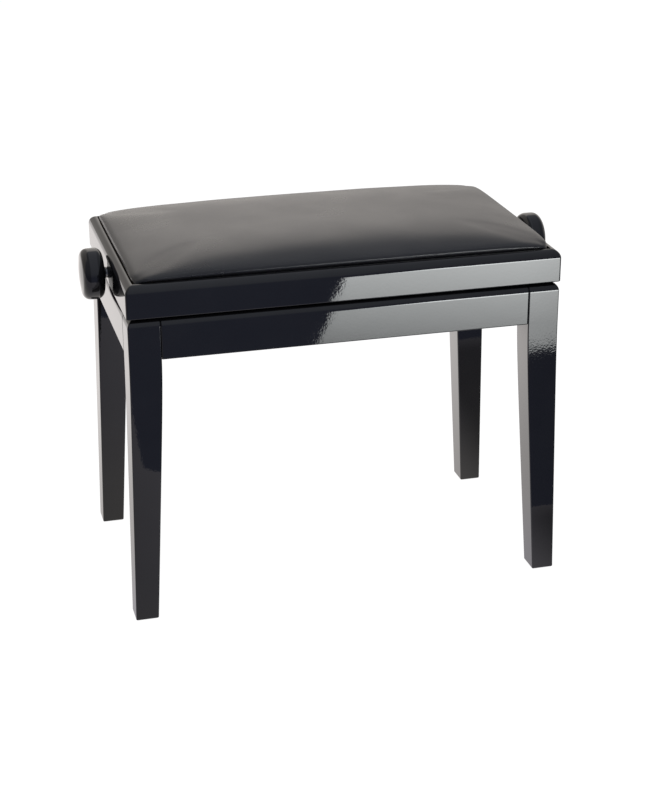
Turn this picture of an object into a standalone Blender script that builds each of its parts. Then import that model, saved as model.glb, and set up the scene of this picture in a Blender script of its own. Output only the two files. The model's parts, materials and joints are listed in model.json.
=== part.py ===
"""Height-adjustable piano bench: a lacquered four-legged base, a padded seat frame above it, and a
scissor lift between them, driven by a spindle along X with a knob at each end.

Metres, +Z up. X is the bench's length, Y its depth (the front is -Y), and the origin is on the floor
under its middle. The seat is modelled at its lowest position.
"""

import math

import bmesh
import bpy
from mathutils import Matrix, Vector

# Driving dimensions
SEAT_LENGTH = 0.555
SEAT_DEPTH = 0.324
SEAT_BOTTOM = 0.407
SEAT_TOP = 0.4485
BASE_INSET = 0.001
BASE_TOP = 0.4053
APRON_BOTTOM = 0.3528
SPINDLE_HEIGHT = 0.4175
LIFT_TRAVEL = 0.09
FIT_GAP = 0.0003
CUT_THROUGH = 0.030
JOIN_OVERLAP = 0.004
HOLE_SPARE = 0.003

# Seat frame and pad
RAIL_THICKNESS = 0.020
RAIL_ROUND = 0.011
REBATE_HEIGHT = 0.431
SMALL_ARRIS = 0.0014
MITRE_GAP = 0.00016
BOARD_THICKNESS = 0.009
BOARD_MARGIN = 0.0005
PAD_MARGIN = 0.0008
PAD_EDGE_HEIGHT = 0.4488
PAD_ROLL_HEIGHT = 0.0096
PAD_ROLL = ((0.0, 0.0), (0.0020, 0.25), (0.0028, 0.55), (0.0018, 0.84), (-0.0014, 1.0))
PAD_CORNER_DROP = 0.45
PAD_CROWN = 0.0176
PAD_BOW = 0.4
PAD_FULLNESS_X = 6
PAD_FULLNESS_Y = 4

# Base
LEG_WIDTH = 0.0405
FOOT_WIDTH_X = 0.0292
FOOT_WIDTH_Y = 0.0315
FOOT_FLARE_X = 0.0075
FOOT_FLARE_Y = 0.0035
FOOT_HEIGHT = 0.0018
FOOT_ROUND = 0.002
TAPER_EASE = 0.12
APRON_THICKNESS = 0.020
BASE_ROUND = 0.0108
LEG_ARRIS = 0.0014
GLIDE_RADIUS = 0.010
GLIDE_THICKNESS = 0.0015

# Corner blocks, measured along the apron faces from the leg's inner corner
BLOCK_BOTTOM = 0.386
BLOCK_TOP = 0.400
BLOCK_CLEAR = 0.0225
BLOCK_WIDTH = 0.020
BOLT_RADIUS = 0.003
BOLT_HEAD_RADIUS = 0.0055
BOLT_HEAD_HEIGHT = 0.005
BOLT_LENGTH = 0.034

# Lift: two scissor pairs inside steel channels
ARM_SPAN = 0.42
ARM_HALF_WIDTH = 0.0085
ARM_THICKNESS = 0.004
ARM_GAP = 0.0005
PIVOT_X = 0.2085
LOWER_PIVOT_HEIGHT = 0.366
PIVOT_RADIUS = 0.004
PIVOT_CLEARANCE = 0.0002
LOOSE_CLEARANCE = 0.001
SLOT_SPARE = 0.0015
ARM_SLOT_RUN = 0.0038
SHEET = 0.0025
CHANNEL_HALF_LENGTH = 0.232
CHANNEL_INNER_Y = 0.10425
BASE_CHANNEL_BOTTOM = 0.3535
BASE_CHANNEL_TOP = 0.378
SEAT_CHANNEL_BOTTOM = 0.405
TAB_TOP = 0.384
TAB_LAP = 0.010
PIVOT_END_Y = 0.1208
HEAD_RADIUS = 0.0062
HEAD_THICKNESS = 0.0016

# Spindle, nut and knobs
SPINDLE_RADIUS = 0.006
RUNNING_CLEARANCE = 0.00008
BUSH_RADIUS = 0.007
BUSH_FLANGE_RADIUS = 0.0105
BUSH_FLANGE = 0.002
BUSH_SET_BACK = 0.0004
BEARING_SEGMENTS = 24
COLLAR_RADIUS = 0.0115
COLLAR_WIDTH = 0.010
GRUB_SCREW_RADIUS = 0.002
CROSSBAR_HALF = 0.008
NUT_BLOCK_HALF = 0.0118
NUT_RADIUS = 0.0085
NUT_FLANGE_RADIUS = 0.011
NUT_HALF_LENGTH = 0.014
KNOB_RADIUS = 0.0328
KNOB_THICKNESS = 0.030
KNOB_GAP = 0.0045
KNOB_HUB_RADIUS = 0.0073
KNOB_HUB = 0.0035
KNOB_BORE_DEPTH = 0.020
KNOB_INNER_ROUND = 0.010
KNOB_OUTER_ROUND = 0.010
KNOB_DOME = 0.0018
KNOB_FACE_ANGLE = 8
KNOB_SEGMENTS = 36

# Screws
SCREW_HEAD_RADIUS = 0.004
SCREW_HEAD_HEIGHT = 0.0022
SCREW_RADIUS = 0.0019
SEAT_SCREW_X = 0.12
SEAT_SCREW_LENGTH = 0.0085
TAB_SCREW_LENGTH = 0.014
TAB_SCREW_HEIGHT = 0.3715

# Worked out from the above
SEAT_X = SEAT_LENGTH / 2
SEAT_Y = SEAT_DEPTH / 2
BASE_X = SEAT_X - BASE_INSET
BASE_Y = SEAT_Y - BASE_INSET
APRON_X = BASE_X - APRON_THICKNESS
APRON_Y = BASE_Y - APRON_THICKNESS
BOARD_BOTTOM = REBATE_HEIGHT + FIT_GAP
BOARD_TOP = BOARD_BOTTOM + BOARD_THICKNESS
CHANNEL_OUTER_Y = CHANNEL_INNER_Y + 2 * SHEET + 2 * ARM_THICKNESS + 3 * ARM_GAP
CHANNEL_MIDDLE_Y = (CHANNEL_INNER_Y + CHANNEL_OUTER_Y) / 2
SEAT_CHANNEL_TOP = BOARD_BOTTOM - FIT_GAP
OUTER_ARM_Y = CHANNEL_OUTER_Y - SHEET - ARM_GAP - ARM_THICKNESS / 2
INNER_ARM_Y = OUTER_ARM_Y - ARM_THICKNESS - ARM_GAP
ARM_REST_ANGLE = math.asin((SPINDLE_HEIGHT - LOWER_PIVOT_HEIGHT) / ARM_SPAN)
ARM_REACH = ARM_SPAN * math.cos(ARM_REST_ANGLE)
FAR_PIVOT_X = ARM_REACH - PIVOT_X
ARM_RAISED_ANGLE = math.asin((SPINDLE_HEIGHT + LIFT_TRAVEL - LOWER_PIVOT_HEIGHT) / ARM_SPAN)
NUT_TRAVEL = ARM_REACH - ARM_SPAN * math.cos(ARM_RAISED_ANGLE)
SLOT_RUN = NUT_TRAVEL + 2 * SLOT_SPARE
BOLT_INSET = (BLOCK_CLEAR + BLOCK_WIDTH + APRON_THICKNESS + FIT_GAP - LEG_WIDTH) / math.sqrt(2)

FRONT_BACK = (("front", -1), ("back", 1))
LEFT_RIGHT = (("left", -1), ("right", 1))

# Each joint: a point on its axis, the joint that carries it, and how its pieces' names start.
# A piece belongs to the first joint that its name fits.
JOINTS = {
    "seat_lift": ((0, 0, SEAT_BOTTOM), None, ("seat_", "pad_board", "channel_screw_", "bush_")),
    "nut_travel": ((FAR_PIVOT_X, 0, SPINDLE_HEIGHT), "seat_lift", ("crossbar", "spindle_nut")),
    "spindle_turn": (
        (0, 0, SPINDLE_HEIGHT),
        "seat_lift",
        ("spindle", "thrust_collar_", "grub_screw_", "knob_"),
    ),
    "arms_a_swing": ((-PIVOT_X, 0, LOWER_PIVOT_HEIGHT), None, ("arm_a_", "centre_pin_")),
    "arms_b_swing": ((-PIVOT_X, 0, SPINDLE_HEIGHT), "seat_lift", ("arm_b_", "sliding_rod")),
}

LACQUER = ("black_lacquer", (0.006, 0.006, 0.007), 0.04, 0.0)
LEATHERETTE = ("black_leatherette", (0.012, 0.012, 0.013), 0.32, 0.0)
PLYWOOD = ("plywood", (0.50, 0.36, 0.22), 0.6, 0.0)
BEECH = ("beech", (0.48, 0.30, 0.17), 0.55, 0.0)
STEEL = ("zinc_plated_steel", (0.62, 0.62, 0.60), 0.32, 1.0)
DARK_STEEL = ("blackened_steel", (0.04, 0.04, 0.045), 0.4, 0.9)
BRONZE = ("bronze", (0.55, 0.36, 0.16), 0.35, 1.0)
NYLON = ("black_nylon", (0.02, 0.02, 0.022), 0.5, 0.0)


def clear_scene():
    for obj in list(bpy.data.objects):
        bpy.data.objects.remove(obj, do_unlink=True)


def material(kind):
    name, colour, roughness, metallic = kind
    found = bpy.data.materials.get(name)
    if found:
        return found
    made = bpy.data.materials.new(name)
    made.use_nodes = True
    shader = made.node_tree.nodes["Principled BSDF"]
    shader.inputs["Base Color"].default_value = (*colour, 1.0)
    shader.inputs["Roughness"].default_value = roughness
    shader.inputs["Metallic"].default_value = metallic
    made.diffuse_color = (*colour, 1.0)
    return made


def add_object(name, mesh_data, kind):
    """Links a finished bmesh as an object, and shades its round surfaces smooth."""
    bmesh.ops.recalc_face_normals(mesh_data, faces=mesh_data.faces)
    if mesh_data.calc_volume(signed=True) < 0:
        bmesh.ops.reverse_faces(mesh_data, faces=mesh_data.faces)
    mesh = bpy.data.meshes.new(name)
    mesh_data.to_mesh(mesh)
    mesh_data.free()
    mesh.shade_smooth()
    mesh.set_sharp_from_angle(angle=math.radians(35))
    mesh.materials.append(material(kind))
    obj = bpy.data.objects.new(name, mesh)
    bpy.context.scene.collection.objects.link(obj)
    return obj


def arc(centre, radius, start, end, steps):
    """Points on a circular arc in a plane; the angles are in degrees."""
    points = []
    for i in range(steps + 1):
        angle = math.radians(start + (end - start) * i / steps)
        points.append((centre[0] + radius * math.cos(angle), centre[1] + radius * math.sin(angle)))
    return points


def loft(name, sections, kind):
    """A closed solid through rings of points, with flat ends."""
    shape = bmesh.new()
    rings = [[shape.verts.new(point) for point in section] for section in sections]
    count = len(rings[0])
    for low, high in zip(rings, rings[1:]):
        for i in range(count):
            j = (i + 1) % count
            shape.faces.new((low[i], low[j], high[j], high[i]))
    shape.faces.new(rings[0][::-1])
    shape.faces.new(rings[-1])
    return add_object(name, shape, kind)


def turned(name, profile, centre, axis, kind, segments=16):
    """A solid of revolution. The profile lists (distance along the axis, radius) and closes on itself."""
    turn = Vector((0, 0, 1)).rotation_difference(Vector(axis)).to_matrix()
    shape = bmesh.new()
    rings = []
    for along, radius in profile:
        ring = []
        count = 1 if radius == 0 else segments
        for i in range(count):
            angle = 2 * math.pi * (i + 0.5) / segments
            local = Vector((radius * math.cos(angle), radius * math.sin(angle), along))
            ring.append(shape.verts.new(turn @ local + Vector(centre)))
        rings.append(ring)
    hollow = profile[0][1] > 0
    pairs = list(zip(rings, rings[1:]))
    if hollow:
        pairs.append((rings[-1], rings[0]))
    for low, high in pairs:
        for i in range(segments):
            j = (i + 1) % segments
            if len(low) == 1:
                shape.faces.new((low[0], high[j], high[i]))
            elif len(high) == 1:
                shape.faces.new((low[i], low[j], high[0]))
            else:
                shape.faces.new((low[i], low[j], high[j], high[i]))
    return add_object(name, shape, kind)


def rod(name, centre, axis, radius, low, high, kind, segments=16):
    profile = [(low, 0), (low, radius), (high, radius), (high, 0)]
    return turned(name, profile, centre, axis, kind, segments)


def block(name, low, high, kind):
    corners = [(low[0], low[1]), (high[0], low[1]), (high[0], high[1]), (low[0], high[1])]
    sections = [[(x, y, z) for x, y in corners] for z in (low[2], high[2])]
    return loft(name, sections, kind)


def helper(obj):
    """Hides a shape that only cuts or joins another."""
    obj.hide_render = True
    obj.display_type = "WIRE"
    return obj


def combine(obj, other, operation):
    """Cuts a shape from an object or joins it on, and makes it follow the object."""
    other.parent = obj
    modifier = obj.modifiers.new(operation.title(), "BOOLEAN")
    modifier.operation = operation
    modifier.solver = "EXACT"
    modifier.object = helper(other)


def cut_slot(obj, centre, run, radius, depth):
    """Cuts a slot whose round-ended outline lies in the XZ plane, from centre along X by run."""
    low, high = sorted((0.0, run))
    outline = arc((centre[0] + high, centre[2]), radius, -90, 90, 6)
    outline += arc((centre[0] + low, centre[2]), radius, 90, 270, 6)
    if run == 0:
        outline = arc((centre[0], centre[2]), radius, 0, 337.5, 15)
    sections = [[(x, centre[1] + side * depth / 2, z) for x, z in outline] for side in (-1, 1)]
    combine(obj, loft(obj.name + "_cutter", sections, STEEL), "DIFFERENCE")


def cut_rod(obj, centre, axis, radius, low, high):
    combine(obj, rod(obj.name + "_cutter", centre, axis, radius, low, high, STEEL), "DIFFERENCE")


# Seat frame ---------------------------------------------------------------------------------------


def seat_rail_profile():
    """(inward, height) points of a seat rail: rounded outer shoulder, and a rebate for the board."""
    points = arc((SMALL_ARRIS, SEAT_BOTTOM + SMALL_ARRIS), SMALL_ARRIS, 270, 180, 4)
    points += arc((RAIL_ROUND, SEAT_TOP - RAIL_ROUND), RAIL_ROUND, 180, 90, 10)
    points += [
        (RAIL_ROUND, REBATE_HEIGHT),
        (RAIL_THICKNESS, REBATE_HEIGHT),
        (RAIL_THICKNESS, SEAT_BOTTOM),
    ]
    return points


def seat_rail(name, half_length, half_depth, turn):
    """A rail along the side that faces -Y before it is turned about Z, with mitred ends."""
    about_z = Matrix.Rotation(turn, 3, "Z")
    sections = []
    for side in (-1, 1):
        section = []
        for inward, height in seat_rail_profile():
            along = side * (half_length - inward - MITRE_GAP)
            section.append(about_z @ Vector((along, inward - half_depth, height)))
        sections.append(section)
    return loft(name, sections, LACQUER)


def seat_frame():
    seat_rail("seat_rail_front", SEAT_X, SEAT_Y, 0)
    seat_rail("seat_rail_back", SEAT_X, SEAT_Y, math.pi)
    for name, side in LEFT_RIGHT:
        rail = seat_rail(f"seat_rail_{name}", SEAT_Y, SEAT_X, side * math.pi / 2)
        centre = (side * SEAT_X, 0, SPINDLE_HEIGHT)
        cut_rod(rail, centre, (1, 0, 0), BUSH_RADIUS + FIT_GAP, -2 * RAIL_THICKNESS, 2 * RAIL_THICKNESS)


def pad_board():
    half_x = SEAT_X - RAIL_ROUND - BOARD_MARGIN
    half_y = SEAT_Y - RAIL_ROUND - BOARD_MARGIN
    low = (-half_x, -half_y, BOARD_BOTTOM)
    board = block("pad_board", low, (half_x, half_y, BOARD_TOP), PLYWOOD)
    for _, y_side in FRONT_BACK:
        for _, x_side in LEFT_RIGHT:
            centre = (x_side * SEAT_SCREW_X, y_side * CHANNEL_MIDDLE_Y, SEAT_CHANNEL_TOP)
            cut_rod(board, centre, (0, 0, 1), SCREW_RADIUS + FIT_GAP, -HOLE_SPARE, SEAT_SCREW_LENGTH - SHEET)


def pad_height(u, v, roll_share):
    """Height of the pad's top; u and v run from -1 to 1 across it. The roll is lower at the corners."""
    roll = PAD_ROLL_HEIGHT * roll_share * (1 - PAD_CORNER_DROP * abs(u * v) ** PAD_FULLNESS_X)
    crown = (1 - PAD_BOW * u * u) * (1 - abs(u) ** PAD_FULLNESS_X) * (1 - abs(v) ** PAD_FULLNESS_Y)
    return PAD_EDGE_HEIGHT + roll + PAD_CROWN * crown


def seat_cushion(columns=26, rows=16):
    """The pad: straight sides inside the frame, an edge that rolls over the rails, and a crowned top."""
    half_x = SEAT_X - RAIL_ROUND - PAD_MARGIN
    half_y = SEAT_Y - RAIL_ROUND - PAD_MARGIN
    shape = bmesh.new()
    inset = PAD_ROLL[-1][0]
    plan = {}
    top = {}
    for i in range(columns + 1):
        for j in range(rows + 1):
            u = -math.cos(math.pi * i / columns)
            v = -math.cos(math.pi * j / rows)
            plan[i, j] = (u, v)
            x, y = u * (half_x + inset), v * (half_y + inset)
            top[i, j] = shape.verts.new((x, y, pad_height(u, v, 1.0)))
    for i in range(columns):
        for j in range(rows):
            shape.faces.new((top[i, j], top[i + 1, j], top[i + 1, j + 1], top[i, j + 1]))
    border = [(i, 0) for i in range(columns)]
    border += [(columns, j) for j in range(rows)]
    border += [(i, rows) for i in range(columns, 0, -1)]
    border += [(0, j) for j in range(rows, 0, -1)]
    edge = [plan[key] for key in border]
    rings = [[shape.verts.new((u * half_x, v * half_y, BOARD_TOP + FIT_GAP)) for u, v in edge]]
    for out, share in PAD_ROLL[:-1]:
        points = [(u * (half_x + out), v * (half_y + out), pad_height(u, v, share)) for u, v in edge]
        rings.append([shape.verts.new(point) for point in points])
    rings.append([top[key] for key in border])
    for low, high in zip(rings, rings[1:]):
        for i in range(len(border)):
            j = (i + 1) % len(border)
            shape.faces.new((low[i], low[j], high[j], high[i]))
    shape.faces.new(rings[0][::-1])
    return add_object("seat_cushion", shape, LEATHERETTE)


# Base ---------------------------------------------------------------------------------------------


def rounded_rectangle(x_range, y_range, radius, height, steps=2):
    (x_low, x_high), (y_low, y_high) = x_range, y_range
    outline = []
    centres = (
        (x_high - radius, y_high - radius, 0),
        (x_low + radius, y_high - radius, 90),
        (x_low + radius, y_low + radius, 180),
        (x_high - radius, y_low + radius, 270),
    )
    for x, y, start in centres:
        outline += arc((x, y), radius, start, start + 90, steps)
    return [(x, y, height) for x, y in outline]


def leg_section(height, trim_all=0.0, trim_outer=0.0):
    """Outline of a leg at +X +Y. Below the aprons it tapers, easing into the taper near the top."""
    down = max(0.0, (APRON_BOTTOM - height) / APRON_BOTTOM)
    ease = math.hypot(1, TAPER_EASE) - TAPER_EASE
    taper = (math.hypot(down, TAPER_EASE) - TAPER_EASE) / ease
    outer_x = BASE_X + FOOT_FLARE_X * taper
    outer_y = BASE_Y + FOOT_FLARE_Y * taper
    inner_x = outer_x - LEG_WIDTH + (LEG_WIDTH - FOOT_WIDTH_X) * taper
    inner_y = outer_y - LEG_WIDTH + (LEG_WIDTH - FOOT_WIDTH_Y) * taper
    x_range = (inner_x + trim_all, outer_x - trim_all - trim_outer)
    y_range = (inner_y + trim_all, outer_y - trim_all - trim_outer)
    return rounded_rectangle(x_range, y_range, LEG_ARRIS, height)


def leg_sections():
    sections = []
    for run, rise in arc((FOOT_ROUND, FOOT_ROUND), FOOT_ROUND, 270, 180, 3):
        sections.append(leg_section(FOOT_HEIGHT + rise, trim_all=run))
    tapered = (0.07, 0.14, 0.20, 0.25, 0.285, 0.31, 0.33, 0.345, APRON_BOTTOM)
    sections += [leg_section(height) for height in tapered]
    shoulder = (BASE_ROUND, BASE_TOP - BASE_ROUND)
    for run, height in arc(shoulder, BASE_ROUND, 180, 90, 6):
        sections.append(leg_section(height, trim_outer=run))
    return sections


def corner_line(x_side, y_side):
    """The leg's inner corner, and the unit direction from there outwards through the corner."""
    corner = Vector((x_side * (BASE_X - LEG_WIDTH), y_side * (BASE_Y - LEG_WIDTH), 0))
    return corner, Vector((x_side, y_side, 0)).normalized()


def leg(name, x_side, y_side):
    sections = [[(x * x_side, y * y_side, z) for x, y, z in section] for section in leg_sections()]
    obj = loft(f"leg_{name}", sections, LACQUER)
    corner, outwards = corner_line(x_side, y_side)
    corner.z = (BLOCK_BOTTOM + BLOCK_TOP) / 2
    depth = BOLT_LENGTH - BOLT_INSET + HOLE_SPARE
    cut_rod(obj, corner, outwards, BOLT_RADIUS + FIT_GAP, -CUT_THROUGH, depth)


def corner_block(name, x_side, y_side):
    """A diagonal brace between two aprons, just inside a leg."""
    face_x = APRON_X - FIT_GAP
    face_y = APRON_Y - FIT_GAP
    corner_x = BASE_X - LEG_WIDTH
    corner_y = BASE_Y - LEG_WIDTH
    outline = [
        (face_x, corner_y - BLOCK_CLEAR),
        (face_x, corner_y - BLOCK_CLEAR - BLOCK_WIDTH),
        (corner_x - BLOCK_CLEAR - BLOCK_WIDTH, face_y),
        (corner_x - BLOCK_CLEAR, face_y),
    ]
    heights = (BLOCK_BOTTOM, BLOCK_TOP)
    sections = [[(x * x_side, y * y_side, z) for x, y in outline] for z in heights]
    obj = loft(f"corner_block_{name}", sections, BEECH)
    corner, outwards = corner_line(x_side, y_side)
    corner.z = (BLOCK_BOTTOM + BLOCK_TOP) / 2
    cut_rod(obj, corner, outwards, BOLT_RADIUS + FIT_GAP, -CUT_THROUGH, CUT_THROUGH)


def corner_bolt(name, x_side, y_side):
    """A hexagon bolt through the corner block into the leg's inner corner."""
    corner, outwards = corner_line(x_side, y_side)
    seat = corner - outwards * (BOLT_INSET + FIT_GAP)
    seat.z = (BLOCK_BOTTOM + BLOCK_TOP) / 2
    head = rod(f"corner_bolt_{name}", seat, outwards, BOLT_HEAD_RADIUS, -BOLT_HEAD_HEIGHT, 0, DARK_STEEL, 6)
    overlap = BOLT_HEAD_HEIGHT / 2
    shank = rod("corner_bolt_shank", seat, outwards, BOLT_RADIUS, -overlap, BOLT_LENGTH, DARK_STEEL)
    combine(head, shank, "UNION")


def glide(name, x_side, y_side):
    foot = leg_section(FOOT_HEIGHT)
    x_middle = sum(x for x, _, _ in foot) / len(foot)
    y_middle = sum(y for _, y, _ in foot) / len(foot)
    bevel = 0.0004
    profile = [
        (0, 0),
        (0, GLIDE_RADIUS - bevel),
        (bevel, GLIDE_RADIUS),
        (GLIDE_THICKNESS, GLIDE_RADIUS),
        (GLIDE_THICKNESS, 0),
    ]
    turned(f"glide_{name}", profile, (x_side * x_middle, y_side * y_middle, 0), (0, 0, 1), NYLON)


def apron_profile(set_back):
    """(inward, height) points of an apron: rounded top shoulder and eased lower edges."""
    shoulder = (BASE_ROUND + set_back, BASE_TOP - BASE_ROUND)
    points = arc((SMALL_ARRIS + set_back, APRON_BOTTOM + SMALL_ARRIS), SMALL_ARRIS, 270, 180, 4)
    points += arc(shoulder, BASE_ROUND, 180, 90, 6)
    points += [(APRON_THICKNESS, BASE_TOP)]
    points += arc((APRON_THICKNESS - SMALL_ARRIS, APRON_BOTTOM + SMALL_ARRIS), SMALL_ARRIS, 0, -90, 3)
    return points


def apron(name, half_length, half_depth, turn):
    """An apron along the side that faces -Y before it is turned about Z. Its ends are eased."""
    about_z = Matrix.Rotation(turn, 3, "Z")
    end = half_length - LEG_WIDTH - FIT_GAP
    easing = [(end - LEG_ARRIS + x, LEG_ARRIS - y) for x, y in arc((0, 0), LEG_ARRIS, 90, 0, 4)]
    stations = [(-along, set_back) for along, set_back in reversed(easing)] + easing
    sections = []
    for along, set_back in stations:
        section = []
        for inward, height in apron_profile(set_back):
            section.append(about_z @ Vector((along, inward - half_depth, height)))
        sections.append(section)
    return loft(f"apron_{name}", sections, LACQUER)


def aprons():
    apron("front", BASE_X, BASE_Y, 0)
    apron("back", BASE_X, BASE_Y, math.pi)
    for name, x_side in LEFT_RIGHT:
        side_apron = apron(name, BASE_Y, BASE_X, x_side * math.pi / 2)
        for _, y_side in FRONT_BACK:
            centre = (x_side * APRON_X, y_side * CHANNEL_MIDDLE_Y, TAB_SCREW_HEIGHT)
            hole = SCREW_RADIUS + FIT_GAP
            cut_rod(side_apron, centre, (x_side, 0, 0), hole, -HOLE_SPARE, TAB_SCREW_LENGTH)


def base():
    for y_name, y_side in FRONT_BACK:
        for x_name, x_side in LEFT_RIGHT:
            name = f"{y_name}_{x_name}"
            leg(name, x_side, y_side)
            corner_block(name, x_side, y_side)
            corner_bolt(name, x_side, y_side)
            glide(name, x_side, y_side)
    aprons()


# Lift ---------------------------------------------------------------------------------------------


def screw(name, seat, direction, length):
    """A pan-head wood screw whose head rests at seat and whose point lies along direction."""
    tip = length - 2 * SCREW_RADIUS
    profile = [
        (-SCREW_HEAD_HEIGHT, 0),
        (-SCREW_HEAD_HEIGHT, SCREW_HEAD_RADIUS * 0.55),
        (-SCREW_HEAD_HEIGHT * 0.7, SCREW_HEAD_RADIUS * 0.88),
        (-SCREW_HEAD_HEIGHT * 0.25, SCREW_HEAD_RADIUS),
        (0, SCREW_HEAD_RADIUS),
        (0, SCREW_RADIUS),
        (tip, SCREW_RADIUS),
        (length, 0),
    ]
    return turned(name, profile, seat, direction, STEEL, 14)


def channel(name, y_side, web, lip):
    """A U channel along X: its web is at one height and its two walls reach to the other, lip."""
    web_low, web_high = sorted((web, web + math.copysign(SHEET, lip - web)))
    low_y, high_y = sorted((y_side * CHANNEL_INNER_Y, y_side * CHANNEL_OUTER_Y))
    low = (-CHANNEL_HALF_LENGTH, low_y, web_low)
    obj = block(name, low, (CHANNEL_HALF_LENGTH, high_y, web_high), STEEL)
    wall_low, wall_high = sorted((web, lip))
    for wall in (low_y, high_y - SHEET):
        low = (-CHANNEL_HALF_LENGTH, wall, wall_low)
        high = (CHANNEL_HALF_LENGTH, wall + SHEET, wall_high)
        combine(obj, block(name + "_wall", low, high, STEEL), "UNION")
    return obj


def base_channel(name, y_side):
    """The lower channel, open upwards, with a tab at each end that screws to a side apron."""
    obj = channel(f"base_channel_{name}", y_side, BASE_CHANNEL_BOTTOM, BASE_CHANNEL_TOP)
    low_y, high_y = sorted((y_side * CHANNEL_INNER_Y, y_side * CHANNEL_OUTER_Y))
    reach = APRON_X - FIT_GAP
    floor = (BASE_CHANNEL_BOTTOM, BASE_CHANNEL_BOTTOM + SHEET)
    outline = [
        (CHANNEL_HALF_LENGTH - TAB_LAP, floor[0]),
        (reach, floor[0]),
        (reach, TAB_TOP),
        (reach - SHEET, TAB_TOP),
        (reach - SHEET, floor[1]),
        (CHANNEL_HALF_LENGTH - TAB_LAP, floor[1]),
    ]
    for _, x_side in LEFT_RIGHT:
        sections = [[(x_side * x, y, z) for x, z in outline] for y in (low_y, high_y)]
        combine(obj, loft(obj.name + "_tab", sections, STEEL), "UNION")
        centre = (x_side * reach, y_side * CHANNEL_MIDDLE_Y, TAB_SCREW_HEIGHT)
        cut_rod(obj, centre, (1, 0, 0), SCREW_RADIUS + FIT_GAP, -2 * SHEET, 2 * SHEET)
        seat = centre[0] - x_side * (SHEET + FIT_GAP), centre[1], centre[2]
        side_name = "left" if x_side < 0 else "right"
        screw(f"tab_screw_{name}_{side_name}", seat, (x_side, 0, 0), TAB_SCREW_LENGTH)
    middle = y_side * CHANNEL_MIDDLE_Y
    hole = PIVOT_RADIUS + PIVOT_CLEARANCE
    cut_slot(obj, (-PIVOT_X, middle, LOWER_PIVOT_HEIGHT), 0, hole, CUT_THROUGH)
    slot_start = FAR_PIVOT_X + SLOT_SPARE
    slot_radius = PIVOT_RADIUS + LOOSE_CLEARANCE
    cut_slot(obj, (slot_start, middle, LOWER_PIVOT_HEIGHT), -SLOT_RUN, slot_radius, CUT_THROUGH)
    return obj


def seat_channel(name, y_side):
    """The upper channel, open downwards, screwed to the underside of the pad board."""
    obj = channel(f"seat_channel_{name}", y_side, SEAT_CHANNEL_TOP, SEAT_CHANNEL_BOTTOM)
    middle = y_side * CHANNEL_MIDDLE_Y
    hole = PIVOT_RADIUS + PIVOT_CLEARANCE
    cut_slot(obj, (-PIVOT_X, middle, SPINDLE_HEIGHT), 0, hole, CUT_THROUGH)
    slot_start = (FAR_PIVOT_X + SLOT_SPARE, middle, SPINDLE_HEIGHT)
    cut_slot(obj, slot_start, -SLOT_RUN, hole, CUT_THROUGH)
    for x_name, x_side in LEFT_RIGHT:
        centre = (x_side * SEAT_SCREW_X, middle, SEAT_CHANNEL_TOP)
        cut_rod(obj, centre, (0, 0, 1), SCREW_RADIUS + FIT_GAP, -2 * SHEET, SHEET)
        seat = (centre[0], centre[1], SEAT_CHANNEL_TOP - SHEET - FIT_GAP)
        screw(f"channel_screw_{name}_{x_name}", seat, (0, 0, 1), SEAT_SCREW_LENGTH)
    return obj


def arm(name, y_middle, start, end, end_slot, middle_radius):
    """A flat bar with round ends between two pivots. Its origin is on its hinge, at start."""
    along = Vector((end[0] - start[0], 0, end[1] - start[1]))
    span = along.length
    outline = arc((span, 0), ARM_HALF_WIDTH, -90, 90, 8)
    outline += arc((0, 0), ARM_HALF_WIDTH, 90, 270, 8)
    sides = (-ARM_THICKNESS / 2, ARM_THICKNESS / 2)
    obj = loft(name, [[(x, y, z) for x, z in outline] for y in sides], STEEL)
    hole = PIVOT_RADIUS + PIVOT_CLEARANCE
    cutters = (
        (0, 0, hole),
        (span / 2, 0, middle_radius),
        (span, -end_slot, hole if end_slot == 0 else PIVOT_RADIUS + LOOSE_CLEARANCE),
    )
    for x, run, radius in cutters:
        cut_slot(obj, (x, 0, 0), run, radius, CUT_THROUGH)
    obj.location = (start[0], y_middle, start[1])
    obj.rotation_euler.y = -math.atan2(along.z, along.x)


def scissor(name, y_side):
    """Arm A rises from the base's fixed pivot to the crossbar; arm B falls from the seat's pivot."""
    low, high = LOWER_PIVOT_HEIGHT, SPINDLE_HEIGHT
    tight = PIVOT_RADIUS + PIVOT_CLEARANCE
    loose = PIVOT_RADIUS + LOOSE_CLEARANCE
    outer, inner = y_side * OUTER_ARM_Y, y_side * INNER_ARM_Y
    arm(f"arm_a_{name}", outer, (-PIVOT_X, low), (FAR_PIVOT_X, high), ARM_SLOT_RUN, tight)
    arm(f"arm_b_{name}", inner, (-PIVOT_X, high), (FAR_PIVOT_X, low), 0, loose)
    middle = ((FAR_PIVOT_X - PIVOT_X) / 2, y_side * (OUTER_ARM_Y + INNER_ARM_Y) / 2, (low + high) / 2)
    reach = ARM_THICKNESS + ARM_GAP / 2 + FIT_GAP
    headed_pin(f"centre_pin_{name}", middle, reach)


def headed_pin(name, centre, reach):
    """A pivot pin along Y with a flat head at each end; reach is half the length between the heads."""
    profile = [
        (-reach - HEAD_THICKNESS, 0),
        (-reach - HEAD_THICKNESS, HEAD_RADIUS),
        (-reach, HEAD_RADIUS),
        (-reach, PIVOT_RADIUS),
        (reach, PIVOT_RADIUS),
        (reach, HEAD_RADIUS),
        (reach + HEAD_THICKNESS, HEAD_RADIUS),
        (reach + HEAD_THICKNESS, 0),
    ]
    return turned(name, profile, centre, (0, 1, 0), STEEL)


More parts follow.
